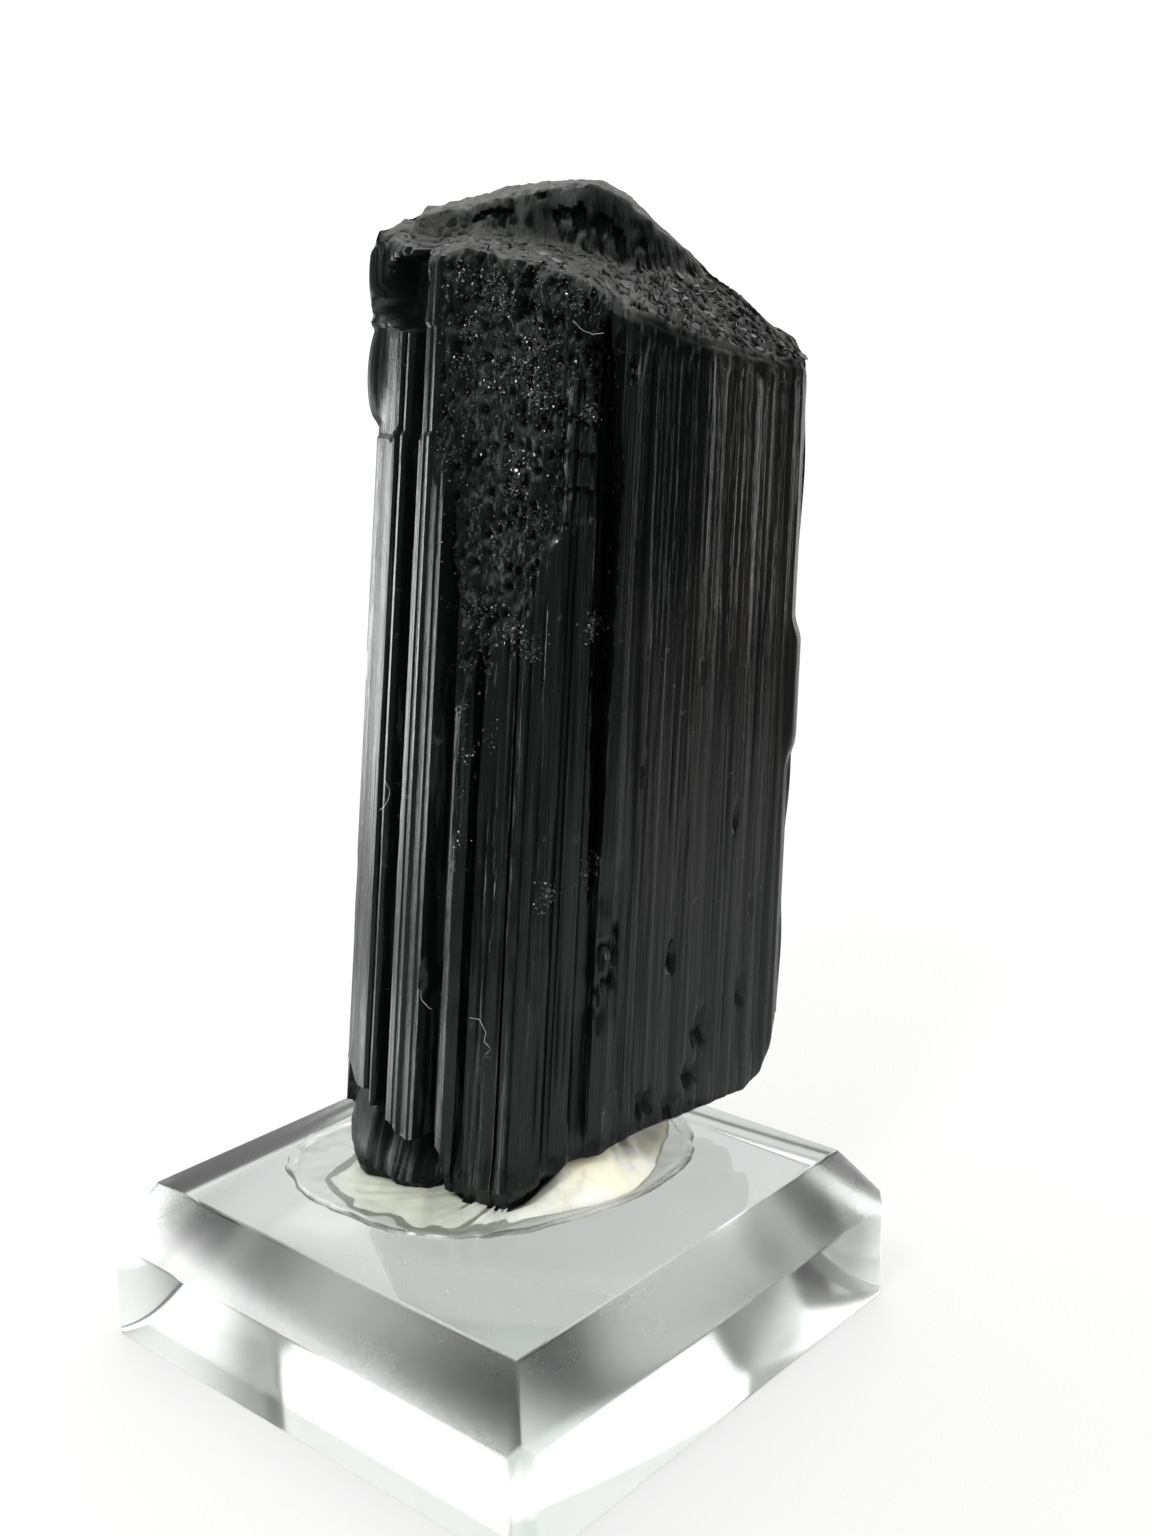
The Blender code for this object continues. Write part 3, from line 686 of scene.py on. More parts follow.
def underside(columns, away, foot):
    # with the stub that stands a little behind the ledge of the left rods
    across, deep, inset, _, inFront = columns
    middle = crystalShape["middle"]
    stub = (1.0 - ramp(across, -4.4, -3.8)) * inFront
    leftEnd = 1.0 - ramp(across, -10.2, -8.4)
    for plain, atStub, drop in underRings:
        hanging = drop < 0.99
        if 0.2 < drop and hanging:
            atStub = atStub + (1.0 - atStub) * 0.45 * leftEnd
        share = plain + (atStub - plain) * stub
        kept = inset * (1.0 - 0.7 * ramp(across, -4.3, -3.2) * inFront) * (1.0 - 0.95 * stub * hanging)
        x = middle[0] + (across + away[0] * kept - middle[0]) * share
        y = middle[1] + (deep + away[1] * kept - middle[1]) * share
        low = np.minimum(lowHeight(x, y), foot - 0.05)
        level = foot - 0.03 + (low - foot) * (1.0 - ramp(plain, 0.86, 0.985))
        height = level + (foot + (between(stubBottom, across) - foot) * drop - level) * stub
        bulge = rough(across, height, (0.30, 3.0, 1.4), (0.10, 3.0, 0.5)) * stub
        broken = 0.15 + 0.25 * stub if hanging else 0.8
        # painted shade: the stub is painted dark under the ledge of the left rods, darkest just below the
        # ledge
        dark = (0.75 if drop < 0.4 else 0.45) * stub * hanging
        yield (x + away[0] * bulge, y + away[1] * bulge, height), broken, dark


def prismSides(columns, away, foot, rim):
    across, deep, inset, _, inFront = columns
    low, fine, high = (crystalShape[key] for key in ("evenFrom", "fineFrom", "evenTo"))
    even = np.arange(low, fine, crystalShape["coarseStep"]), np.arange(fine, high, crystalShape["fineStep"])
    levels = [foot + (low - foot) * share for share in np.linspace(0.0, 1.0, 9)[:-1]]
    levels += [np.full_like(foot, height) for height in np.concatenate(even)]
    levels += [high + (rim - high) * share for share in np.linspace(0.0, 1.0, 40)]
    for height in levels:
        vuggy = vuggyShare(across, height) * inFront
        nearFoot = (1.0 - ramp(height - foot, 0.3, 4.0)) * ramp(across, -4.3, -3.2)
        worn = np.maximum(0.8 * rimWear(across, height), 0.75 * nearFoot) * inFront
        worn = np.maximum(0.92 * vuggy, worn)
        back = inset * (1.0 - worn) + breaks(across, height, inFront)
        notch = hollow(across, height, notchSpot, (1.60, 2.3), 3.0) * inFront
        edgeFlakes = (1.0 - ramp(across, -10.9, -10.5)) * ramp(height, 58.0, 59.5) * inFront
        dull = np.maximum.reduce([vuggy, notch, edgeFlakes, worn * (height > 40.0)])
        # painted shade: the right face is painted darkest beside the deep groove, high up, and the slits, the
        # notch and the corroded zone's pits are painted dark
        deepShade = 0.62 * window(across, 5.4, 12.6, 1.6) * ramp(height, 40.0, 54.0)
        slits = np.maximum(0.8 * patchSlits(across, height), 0.75 * longSlits(across, height))
        dark = np.maximum(deepShade, slits) * inFront
        points = (across + away[0] * back, deep + away[1] * back, height)
        yield points, dull * 0.8, np.maximum.reduce([vuggy * vugPits(across, height), notch, dark])


def brokenEnd(rimPoints, rimRagged):
    rimX, rimY = rimPoints[:2]
    spineX = np.clip(rimX, *crystalShape["spineEnds"])
    for share in topShares(spineX, rimY):
        x = rimX + (spineX - rimX) * share
        y = rimY + (crystalShape["spineDeep"] - rimY) * share
        rise, dark = endRelief(x, y)
        edge = np.minimum(share * 22.0, 1.0)
        z = topHeight(x, y) + edge * rise + rimRagged * np.exp(-14.0 * share)
        z = np.minimum(z, crystalShape["highest"] + 0.05 * rise)
        # pits of the steep wall push it back
        wallDeep = wallPlace(x)
        onWall = window(y, wallDeep - 0.4, wallDeep + 2.6, 0.4)
        crookX, crookZ = x + 0.4 * lumps(x, z, 2.0, 0.7), z + 0.3 * lumps(x, z, 9.0, 0.6)
        pit = pitDepth(wallPits, crookX, crookZ)
        y = y + 0.7 * onWall * np.minimum(pit, 1.0) * (y < 7.0)
        # painted shade: the blunt rim edge is painted dark in lumps, and the steep wall in blots and in its
        # pits
        blots = np.maximum(0.22 + 0.5 * lumps(x, z, 4.0, 0.8), 0.0)
        dark = dark * edge + 0.45 * (1.0 - edge) * (0.5 + lumps(x, z, 2.0, 0.5))
        yield (x, y, z), 1.0, np.clip(dark + onWall * np.minimum(0.95 * pit + blots, 1.0), 0.0, 0.95)


def crystalBody(material):
    rows, runs, inFront = crystalRings()
    count = len(runs)
    middle = np.array(crystalShape["middle"])
    verts = [point for points, _, _ in rows for point in placed(*points)]
    verts.append(placed(*middle, lowHeight(*middle)).reshape(3))
    last = len(verts) - 1
    faces = [face for row in range(len(rows) - 1) for face in band(row * count, (row + 1) * count, count)]
    faces += [((i + 1) % count, i, last) for i in range(count)]
    # the top closes along the spine, a column to its partner on the other side
    faces += closeAlongSpine(list(range(last - count, last)), rows[-1][0][0])
    obj = newMesh("crystalBody", verts, faces, material, 28)

    def everywhere(values, atMiddle):
        return np.concatenate([np.broadcast_to(v, count) for v in values] + [[atMiddle]])

    across, deep, height = (everywhere([points[axis] for points, _, _ in rows], value)
                            for axis, value in ((0, middle[0]), (1, 0.0), (2, 11.0)))
    kind = everywhere([broken for _, broken, _ in rows], 0.8)
    paintedShade = everywhere([dark for _, _, dark in rows], 0.0)
    run = everywhere([runs] * len(rows), 0.0)
    front = everywhere([inFront] * len(rows), False)
    topRings = crystalShape["topRings"]
    onEnd = everywhere([0.0] * (len(rows) - topRings) + [1.0] * topRings, 0.0)
    vuggy = vuggyShare(across, height) * front * (1.0 - onEnd)
    clusters = sum(np.exp(-((across - x) ** 2 + (height - z) ** 2) / wide ** 2) for x, z, wide in glintSpots)
    onSlope = deep < wallPlace(across) - 0.6
    dusty = 0.75 + 1.4 * lumps(across * 0.5, height, 1.0, 0.5)
    fields = {
        "broken": kind,
        "paintedShade": paintedShade,
        "run": run,
        "level": height,
        "glinting": np.clip(clusters, 0.0, 1.0) * front * (1.0 - onEnd) + 0.05 * vuggy,
        "scaly": onEnd * onSlope * (0.25 + ramp(across, 4.0, 12.0)),
        "dust": 0.88 + ramp(across, 2.0, 11.0) * dusty,
    }
    for name, values in fields.items():
        writeField(obj.data, name, values)
    mapFaces(obj.data, run, height, runs)
    return obj


def mapFaces(mesh, run, height, runs):
    # the map runs round the plan and up the crystal, in millimetres, with its seam on the left edge
    count = len(runs)
    corner = readArray(mesh.loops, "vertex_index", np.int32)
    starts = readArray(mesh.polygons, "loop_start", np.int32)
    sizes = readArray(mesh.polygons, "loop_total", np.int32)
    column = corner % count
    wraps = np.maximum.reduceat(column, starts) - np.minimum.reduceat(column, starts) > count // 2
    pastSeam = np.repeat(wraps, sizes) & (column < count // 2)
    u = run[corner] + (runs[-1] + 0.3) * pastSeam
    layer = mesh.uv_layers.new(name="face")
    layer.data.foreach_set("uv", np.stack([u, height[corner]], -1).astype(np.float32).ravel())


def closeAlongSpine(ring, across):
    # zips the two sides of the last ring together, from its left end to its right end
    left, right = int(np.argmin(across)), int(np.argmax(across))
    n = len(ring)
    one = [ring[(left + i) % n] for i in range((right - left) % n + 1)]
    other = [ring[(left - i) % n] for i in range((left - right) % n + 1)]
    place = {index: float(x) for index, x in zip(ring, across)}
    faces = []
    i = j = 0
    while i < len(one) - 1 or j < len(other) - 1:
        forward = j >= len(other) - 1 or (i < len(one) - 1 and place[one[i + 1]] <= place[other[j + 1]])
        if forward:
            corner = (one[i], one[i + 1], other[j])
            i += 1
        else:
            corner = (one[i], other[j + 1], other[j])
            j += 1
        if len(set(corner)) == 3:
            faces.append(corner)
    return faces


# growth ribs, as a geometry nodes tree on the prism

ribLook = {
    "Panel Width": 1.7,
    "Panel Height": 0.11,
    "Rib Width": 0.55,
    "Rib Length": 30.0,
    "Rib Height": 0.050,
    "Fine Width": 0.25,
    "Fine Height": 0.012,
}


def geometryNet(name, sizes):
    tree = bpy.data.node_groups.new(name, "GeometryNodeTree")
    tree.is_modifier = True
    tree.interface.new_socket("Geometry", in_out="INPUT", socket_type="NodeSocketGeometry")
    for key, value in sizes.items():
        kind = "NodeSocketInt" if isinstance(value, int) else "NodeSocketFloat"
        tree.interface.new_socket(key, in_out="INPUT", socket_type=kind)
    tree.interface.new_socket("Geometry", in_out="OUTPUT", socket_type="NodeSocketGeometry")
    net = Net(tree)
    start = tree.nodes.new("NodeGroupInput")
    end = tree.nodes.new("NodeGroupOutput")
    inputs = {s.name: Wire(net, s) for s in start.outputs if s.name}
    return net, inputs, end


def applyTree(obj, net, sizes):
    # sets the inputs by identifier, then keeps the evaluated mesh and drops the modifier
    modifier = obj.modifiers.new(net.tree.name, "NODES")
    modifier.node_group = net.tree
    for item in net.tree.interface.items_tree:
        if item.in_out == "INPUT" and item.name in sizes:
            modifier[item.identifier] = sizes[item.name]
    bpy.context.view_layer.update()
    graph = bpy.context.evaluated_depsgraph_get()
    evaluated = obj.evaluated_get(graph)
    mesh = bpy.data.meshes.new_from_object(evaluated, preserve_all_data_layers=True, depsgraph=graph)
    obj.modifiers.clear()
    old = obj.data
    obj.data = mesh
    mesh.name = obj.name
    bpy.data.meshes.remove(old)


def growRibs(obj):
    net, inputs, end = geometryNet("growthRibs", ribLook)
    run, level, broken = (net.field(name) for name in ("run", "level", "broken"))

    def ribs(width, length, seed):
        spot = net.vector(run / width, level / length, seed)
        cells = net.add("ShaderNodeTexVoronoi", Vector=spot, Scale=1.0, Randomness=0.9)
        high, tilt = net.parts(Wire(net, cells.outputs["Color"]))[:2]
        local = run / width - net.parts(Wire(net, cells.outputs["Position"]))[0]
        return (high - 0.5) * 0.35 + local * (tilt - 0.5) * 1.6 - local * local * 0.8

    large = ribs(inputs["Rib Width"], inputs["Rib Length"], 0.5) * inputs["Rib Height"]
    fine = ribs(inputs["Fine Width"], inputs["Rib Length"] * 0.4, 4.5) * inputs["Fine Height"]
    panels = ribs(inputs["Panel Width"], inputs["Rib Length"] * 1.6, 8.5) * inputs["Panel Height"]
    amount = (panels + large + fine) * (1.0 - broken) * mm
    normal = net.out("GeometryNodeInputNormal")
    offset = net.out("ShaderNodeVectorMath", {"operation": "SCALE"}, Vector=normal, Scale=amount)
    net.put(end.inputs[0], net.out("GeometryNodeSetPosition", Geometry=inputs["Geometry"], Offset=offset))
    applyTree(obj, net, ribLook)


def markDust(mesh):
    # loose grey dust lies where a broken face looks up
    up = readArray(mesh.vertex_normals, "vector", width=3).reshape(-1, 3)[:, 2]
    dust = readArray(mesh.attributes["dust"].data, "value")
    dust *= readArray(mesh.attributes["broken"].data, "value") * ramp(up, 0.15, 0.85)
    mesh.attributes["dust"].data.foreach_set("value", dust)


# grains of the corroded zone and flakes of the broken end

grainLook = {
    "Density": 85.0e6,      # a square metre
    "Smallest": 0.000035,   # metres
    "Largest": 0.00014,
    "Length": 1.0,
    "Tilt": 1.2,
    "Seed": 3,
}

flakeLook = {
    "Density": 1.6e6,
    "Smallest": 0.00014,
    "Largest": 0.00050,
    "Length": 0.16,
    "Tilt": 0.20,
    "Seed": 11,
}


def scatter(name, host, maskName, look, material, sides):
    # small angular pieces on the masked faces of the host, as a plain mesh of their own
    net, inputs, end = geometryNet(name, look)
    seed, tilt = inputs["Seed"], inputs["Tilt"]

    def chanceVector(low, high, seed=0):
        kind = {"data_type": "FLOAT_VECTOR"}
        return net.out("FunctionNodeRandomValue", kind, "Value", Min=low, Max=high, Seed=seed)

    points = net.add("GeometryNodeDistributePointsOnFaces", Mesh=inputs["Geometry"], Seed=seed,
                     Density=net.field(maskName) * inputs["Density"])
    chance = net.out("FunctionNodeRandomValue", {"data_type": "FLOAT"}, "Value", Seed=seed)
    size = chance * chance * (inputs["Largest"] - inputs["Smallest"]) + inputs["Smallest"]
    sizes = net.vector(size, size, size * inputs["Length"])
    scale = net.out("ShaderNodeVectorMath", {"operation": "MULTIPLY"}, Other=sizes,
                    Vector=chanceVector((0.55, 0.4, 0.7), (1.0, 1.0, 1.3)))
    lowest, highest = net.vector(tilt * -1.0, tilt * -1.0, -3.14), net.vector(tilt, tilt, 3.14)
    lean = chanceVector(lowest, highest, seed + 1)
    turn = net.out("FunctionNodeRotateEuler", {"space": "LOCAL"}, **{"Rotate By": lean},
                   Rotation=Wire(net, points.outputs["Rotation"]))
    chip = net.out("GeometryNodeMeshCylinder", {"fill_type": "NGON"}, Vertices=sides, Radius=1.0, Depth=1.3)
    spread = net.out("GeometryNodeInstanceOnPoints", Points=Wire(net, points.outputs["Points"]), Instance=chip,
                     Rotation=turn, Scale=scale)
    real = net.out("GeometryNodeRealizeInstances", Geometry=spread)
    net.put(end.inputs[0], net.out("GeometryNodeSetMaterial", Geometry=real, Material=material))
    obj = linked(name, host.data.copy())
    applyTree(obj, net, look)
    for field in ("broken", "paintedShade", "run", "level", "glinting", "scaly", "dust", "dusty"):
        if field in obj.data.attributes:
            obj.data.attributes.remove(obj.data.attributes[field])
    return obj


# clear block

blockShape = {
    "side": 38.0,
    "topSide": 32.6,
    "height": 10.8,
    "chamferHeight": 4.0,
    "cornerCut": 1.1,
    "edge": 0.14,
}

glassLook = {
    "polish": 0.045,
    "ground": 0.07,
    "satin": 0.22,
    "tint": (0.97, 0.99, 0.98, 1.0),
    "ior": 1.50,
    "absorption": (0.42, 0.52, 0.40, 1.0),
    "density": 7.0,
}


def glassMaterial():
    look = glassLook
    material, net, shader = shaderNet("clearBlock")
    place = net.place()
    haze = net.noise(place, 220.0, 4.0, 0.6).step(0.45, 0.80)
    haze = haze * net.noise(place, 60.0, 2.0, 0.5).step(0.35, 0.65)
    # in metres: the underside is ground, and the chamfers are satin
    level = net.parts(place)[2]
    ground = 1.0 - level.step(0.0001, 0.0004)
    slanted = level.step(0.0066, 0.0069) * (1.0 - level.step(0.0106, 0.01075))
    gloss = look["polish"] + haze * 0.030
    gloss = gloss + ground * look["ground"] + slanted * look["satin"]
    setShader(net, shader, Base_Color=look["tint"], Roughness=gloss, IOR=look["ior"], Transmission_Weight=1.0)
    inside = net.add("ShaderNodeVolumeAbsorption", None, Color=look["absorption"], Density=look["density"])
    net.put(net.tree.nodes["Material Output"].inputs["Volume"], Wire(net, inside.outputs[0]))
    return material


def inOrder(bm):
    # the bevel leaves its points and faces in chance order, and the specks are scattered face by face
    points = sorted(bm.verts, key=lambda vert: [round(value, 3) for value in vert.co])
    place = {vert: index for index, vert in enumerate(points)}
    # each face keeps its own first corner, because that decides how its reflections are split
    faces = [[place[vert] for vert in face.verts] for face in bm.faces]
    return [tuple(vert.co) for vert in points], sorted(faces, key=sorted)


def displayBlock(material):
    shape = blockShape
    bm = bmesh.new()
    bmesh.ops.create_cube(bm, size=1.0)
    side = shape["height"] - shape["chamferHeight"]
    for vert in bm.verts:
        vert.co = Vector((vert.co.x * shape["side"], vert.co.y * shape["side"], side * (vert.co.z > 0)))
    top = [f for f in bm.faces if f.normal.z > 0.9]
    raised = bmesh.ops.extrude_face_region(bm, geom=top)["geom"]
    inwards = shape["topSide"] / shape["side"]
    for vert in [g for g in raised if isinstance(g, bmesh.types.BMVert)]:
        vert.co = Vector((vert.co.x * inwards, vert.co.y * inwards, shape["height"]))
    bmesh.ops.delete(bm, geom=top, context="FACES_ONLY")
    corner = (shape["side"] - shape["cornerCut"]) / 2
    for x, y in ((1, 1), (-1, 1), (-1, -1), (1, -1)):
        cut = bmesh.ops.bisect_plane(bm, geom=bm.verts[:] + bm.edges[:] + bm.faces[:], clear_outer=True,
                                     plane_co=(corner * x, corner * y, 0.0), plane_no=(x, y, 0.0))
        rim = [g for g in cut["geom_cut"] if isinstance(g, bmesh.types.BMEdge)]
        bmesh.ops.contextual_create(bm, geom=rim)
    bmesh.ops.bevel(bm, geom=bm.edges[:], offset=shape["edge"], segments=2, profile=0.5, affect="EDGES")
    bmesh.ops.recalc_face_normals(bm, faces=bm.faces)
    verts, faces = inOrder(bm)
    bm.free()
    obj = newMesh("displayBlock", np.array(verts) * mm, faces, material, 25)
    # specks lie on the top face only
    writeField(obj.data, "dusty", [z > shape["height"] - 0.05 for _, _, z in verts])
    return obj


# putty

filmShape = {
    "outline": [
        (-11.5, -9.5), (-13.5, -6.3), (-13.2, -1.0), (-11.5, 6.0), (-7.0, 12.0), (0.0, 14.5), (5.7, 13.5),
        (9.4, 9.2), (10.3, 4.1), (9.3, -1.5), (6.4, -7.6), (1.7, -11.0), (-2.5, -11.6), (-6.9, -11.6),
    ],
    "level": 10.82,
    "ripple": 0.018,
    "sides": 260,
    "rings": 70,
}

creamShape = {
    "outline": [
        (-8.6, -6.8), (-7.9, -9.2), (-4.6, -10.6), (-2.0, -10.95), (-0.6, -10.1), (1.2, -10.6), (3.5, -10.3),
        (5.2, -8.5), (6.1, -6.8), (6.7, -4.6), (8.8, -0.3), (9.5, 2.9), (8.4, 6.5), (6.7, 9.6), (4.6, 12.6),
        (0.0, 13.4), (-5.5, 11.2), (-9.8, 5.5), (-10.8, 0.0), (-9.8, -4.0),
    ],
    "level": 10.84,
    "height": 2.0,
    "ripple": 0.02,
    "sides": 260,
    "rings": 70,
}

puttyLook = {
    "warm": (0.93, 0.88, 0.66, 1.0),
    "pale": (0.90, 0.90, 0.80, 1.0),
    "grey": (0.44, 0.46, 0.385, 1.0),
    "turn": (math.cos(crystalShape["turn"]), math.sin(crystalShape["turn"]), 0.0),
}


def puttyMaterial():
    look = puttyLook
    material, net, shader = shaderNet("creamPutty")
    place = net.place()
    across = net.dot(place, look["turn"])
    patches = net.noise(place, 260.0, 4.0, 0.55)
    blots = net.noise(place, 420.0, 3.0, 0.6, 0.6)
    fine = net.noise(place, 1500.0, 3.0, 0.6)
    right = (across + (patches - 0.5) * 0.006).step(-0.004, 0.004)
    tone = net.mixColor(right * (0.4 + 0.6 * patches.step(0.3, 0.6)), look["grey"], look["pale"])
    warmth = (across + (patches - 0.5) * 0.004).step(0.001, 0.005) * blots.step(0.42, 0.58)
    tone = net.mixColor(warmth * 0.8, tone, look["warm"])
    bumped = net.out("ShaderNodeBump", Strength=0.5, Distance=0.00012, Height=fine * 0.3 + blots)
    setShader(net, shader, Base_Color=tone, Roughness=0.16 + patches * 0.35, IOR=1.48, Normal=bumped,
              Subsurface_Weight=0.35, Subsurface_Radius=(0.004, 0.0036, 0.0025), Subsurface_Scale=0.3)
    return material


def filmMaterial():
    material, net, shader = shaderNet("clearFilm")
    patches = net.noise(net.place(), 500.0, 3.0, 0.6)
    setShader(net, shader, Base_Color=(0.96, 0.97, 0.94, 1.0), Roughness=0.12 + patches * 0.20, IOR=1.46,
              Transmission_Weight=1.0)
    return material


def smoothRing(points, sides):
    points = [Vector(p) for p in points]
    count = len(points)
    ring = []
    for i in range(sides):
        place = i * count / sides
        k, t = int(place), place - int(place)
        p0, p1, p2, p3 = (points[(k + n) % count] for n in (-1, 0, 1, 2))
        bend, twist = 2 * p0 - 5 * p1 + 4 * p2 - p3, 3 * p1 - p0 - 3 * p2 + p3
        ring.append(0.5 * (2 * p1 + (p2 - p0) * t + bend * t**2 + twist * t**3))
    return np.array([tuple(p) for p in ring])


def flatMound(name, shape, heightAt, material):
    # a mound on the block: rings from its wavy outline to its middle, closed underneath
    floor = shape["level"]
    ring = smoothRing(shape["outline"], shape["sides"])
    middle = ring.mean(0)
    wave = rough(*ring.T, (1.0, 5.0, 1.6), (0.5, 8.0, 0.7))
    ring = middle + (ring - middle) * (1.0 + shape["ripple"] * (wave - 1.0))[:, None]
    count = shape["sides"]
    verts, faces = [], []
    for step in range(shape["rings"]):
        share = 1.0 - (step / shape["rings"]) ** 1.3
        x, y = (middle + (ring - middle) * share).T
        verts += list(np.stack([x, y, floor + heightAt(x, y, share, middle)], -1) * mm)
    for row in range(shape["rings"] - 1):
        faces += band(row * count, (row + 1) * count, count)
    verts.append(np.array([middle[0], middle[1], verts[-1][2] / mm]) * mm)
    verts.append(np.array([middle[0], middle[1], floor]) * mm)
    top, low = len(verts) - 2, len(verts) - 1
    last = (shape["rings"] - 1) * count
    faces += [(last + i, last + (i + 1) % count, top) for i in range(count)]
    faces += [((i + 1) % count, i, low) for i in range(count)]
    obj = newMesh(name, verts, faces, material, 50)
    outward(obj)
    return obj


def creamHeight(x, y, share, middle):
    # low and thin at the left, swollen up to the stone at the right, with folds pulled outwards
    across = x * puttyLook["turn"][0] + y * puttyLook["turn"][1]
    crown = between([(0.0, 1.1), (0.70, 1.0), (0.86, 0.55), (0.96, 0.22), (1.0, 0.0)], share)
    swollen = between([(0.0, 1.0), (0.6, 1.0), (0.85, 0.55), (1.0, 0.3)], share)
    right = ramp(across, 0.0, 3.0)
    height = 0.16 + 0.24 * right + 1.05 * ramp(across, 1.0, 5.0) * swollen
    height -= 0.09 * window(across, -5.0, 1.2, 1.0)
    height += (0.3 + 0.7 * right) * rough(x, y, (0.20, 6.0, 3.0), (0.12, 2.0, 1.1))
    angle = np.arctan2(y - middle[1], x - middle[0])
    folds = lumps(9.0 * np.cos(angle + share), 9.0 * np.sin(angle + share), 1.2 * share, 1.1)
    folds = folds * (0.45 + 0.55 * right) * min(1.0, 6.0 * (1.0 - share))
    return np.maximum(crown * creamShape["height"] * (height + 0.16 * folds), 0.0)


def filmHeight(x, y, share, middle):
    # a thin film with a thicker rolled rim
    bead = between([(0.0, 0.05), (0.88, 0.08), (0.93, 0.10), (0.965, 0.20), (0.985, 0.17), (1.0, 0.0)], share)
    return bead * (1.0 + 0.5 * lumps(x, y, 2.0, 1.6)) + 0.03 * (share < 0.99) * (1.0 + lumps(x, y, 7.0, 1.0))


# dust specks on the block, and a few fibres caught on the stone

speckLook = {
    "Density": 0.30e6,      # a square metre
    "Smallest": 0.00002,    # metres
    "Largest": 0.00006,
    "Length": 0.5,
    "Tilt": 0.3,
    "Seed": 5,
}

speckTones = {
    "grey": (0.20, 0.20, 0.19, 1.0),
    "pale": (0.50, 0.50, 0.48, 1.0),
}

# points of each fibre: place across, how far in front of the plan, height
fibreLines = [
    [(-2.48, 0.3, 23.3), (-1.82, 0.5, 23.4), (-1.38, 0.3, 22.5), (-1.48, 0.2, 21.9), (-1.0, 0.4, 21.6),
     (-1.5, 0.2, 21.0)],
    [(-5.87, 0.1, 24.9), (-5.69, 0.3, 24.0), (-5.28, 0.3, 23.6), (-4.95, 0.1, 23.4)],
    [(-8.86, 0.1, 37.7), (-8.5, 0.3, 37.2), (-8.65, 0.3, 36.5), (-8.92, 0.2, 36.0), (-9.2, 0.1, 35.7)],
    [(2.0, 0.2, 66.1), (2.7, 0.3, 65.5), (3.35, 0.4, 65.3), (4.1, 0.3, 65.4)],
    [(10.4, -5.2, 68.9), (10.9, -5.3, 68.1), (11.7, -5.3, 68.0), (12.1, -5.3, 68.2)],
]


def paleDustMaterial():
    material, net, shader = shaderNet("paleDust")
    patches = net.noise(net.place(), 900.0, 2.0, 0.5).step(0.3, 0.7)
    tone = net.mixColor(patches, speckTones["grey"], speckTones["pale"])
    setShader(net, shader, Base_Color=tone, Roughness=0.6)
    return material


def fibres(material):
    # thin four-sided tubes along smooth lines
    thickness = 0.015 * mm
    verts, faces = [], []
    for line in fibreLines:
        points = []
        for a, b in zip(line, line[1:]):
            for t in np.linspace(0.0, 1.0, 6)[:-1]:
                across, front, height = np.array(a) + (np.array(b) - np.array(a)) * t
                bend = 0.10 * lumps(across, height, 3.0, 0.5)
                points.append(Vector(placed(across + bend, between(frontPlan, across) - front, height)))
        start = len(verts)
        for index, point in enumerate(points):
            ahead = points[min(index + 1, len(points) - 1)] - points[max(index - 1, 0)]
            side = ahead.cross(Vector((0.3, 0.2, 1.0))).normalized() * thickness
            lift = ahead.cross(side).normalized() * thickness
            verts += [point + side, point + lift, point - side, point - lift]
        for ring in range(start, len(verts) - 4, 4):
            faces += band(ring, ring + 4, 4)
        faces += [(start + 3, start + 2, start + 1, start), tuple(range(len(verts) - 4, len(verts)))]
    obj = newMesh("fibres", verts, faces, material, 60)
    outward(obj)
    return obj


# floor, light and camera

stageLook = {
    "floor": (0.19, 0.19, 0.185, 1.0),
    "floorGlow": 0.60,
    "floorRadius": 0.30,
    "aimHeight": 0.035,
    "lowPanel": 0.25,
    "lowPanelSize": (0.10, 0.09),
    "lowPanelBearing": -100.0,
    "lowPanelDistance": 0.115,
    "dark": 0.05,
    "bright": 1.0,
    "paleSide": (58.0, 80.0),
    "behind": 0.27,
    "below": 0.60,
    "above": 1.55,
    "softLevel": 0.80,
    "softSides": 0.38,
    "softLow": 0.75,
}

# power, size, bearing in degrees clockwise from the way the camera looks, rise in degrees, distance
panels = {
    "leftPanel": (4.6, (0.60, 0.17), -84.0, 1.5, 0.55),
    "backPanel": (0.35, (0.14, 0.20), 60.0, 4.0, 0.55),
    "glint": (1.0, (0.08, 0.08), -150.0, 50.0, 0.5),
}

viewShape = {
    "location": (0.07361, -0.07722, 0.06506),
    "azimuth": 40.776,
    "down": 14.015,
    "roll": -0.714,
    "lens": 40.31,
}


def sightLines():
    az, p, r = (math.radians(viewShape[k]) for k in ("azimuth", "down", "roll"))
    ahead = Vector((-math.sin(az) * math.cos(p), math.cos(az) * math.cos(p), -math.sin(p)))
    right = ahead.cross(Vector((0, 0, 1))).normalized()
    up = right.cross(ahead)
    return ahead, math.cos(r) * right + math.sin(r) * up, -math.sin(r) * right + math.cos(r) * up


def setCamera():
    ahead, right, up = sightLines()
    data = bpy.data.cameras.new("view")
    data.lens = viewShape["lens"]
    data.sensor_width = 36.0
    data.clip_start = 0.001
    camera = linked("view", data)
    turn = Matrix((right, up, -ahead)).transposed()
    camera.matrix_world = Matrix.Translation(viewShape["location"]) @ turn.to_4x4()
    bpy.context.scene.camera = camera


def areaLight(name, power, size):
    data = bpy.data.lights.new(name, "AREA")
    data.shape = "RECTANGLE"
    data.size, data.size_y = size
    data.energy = power
    light = linked(name, data)
    light.visible_transmission = False
    return light


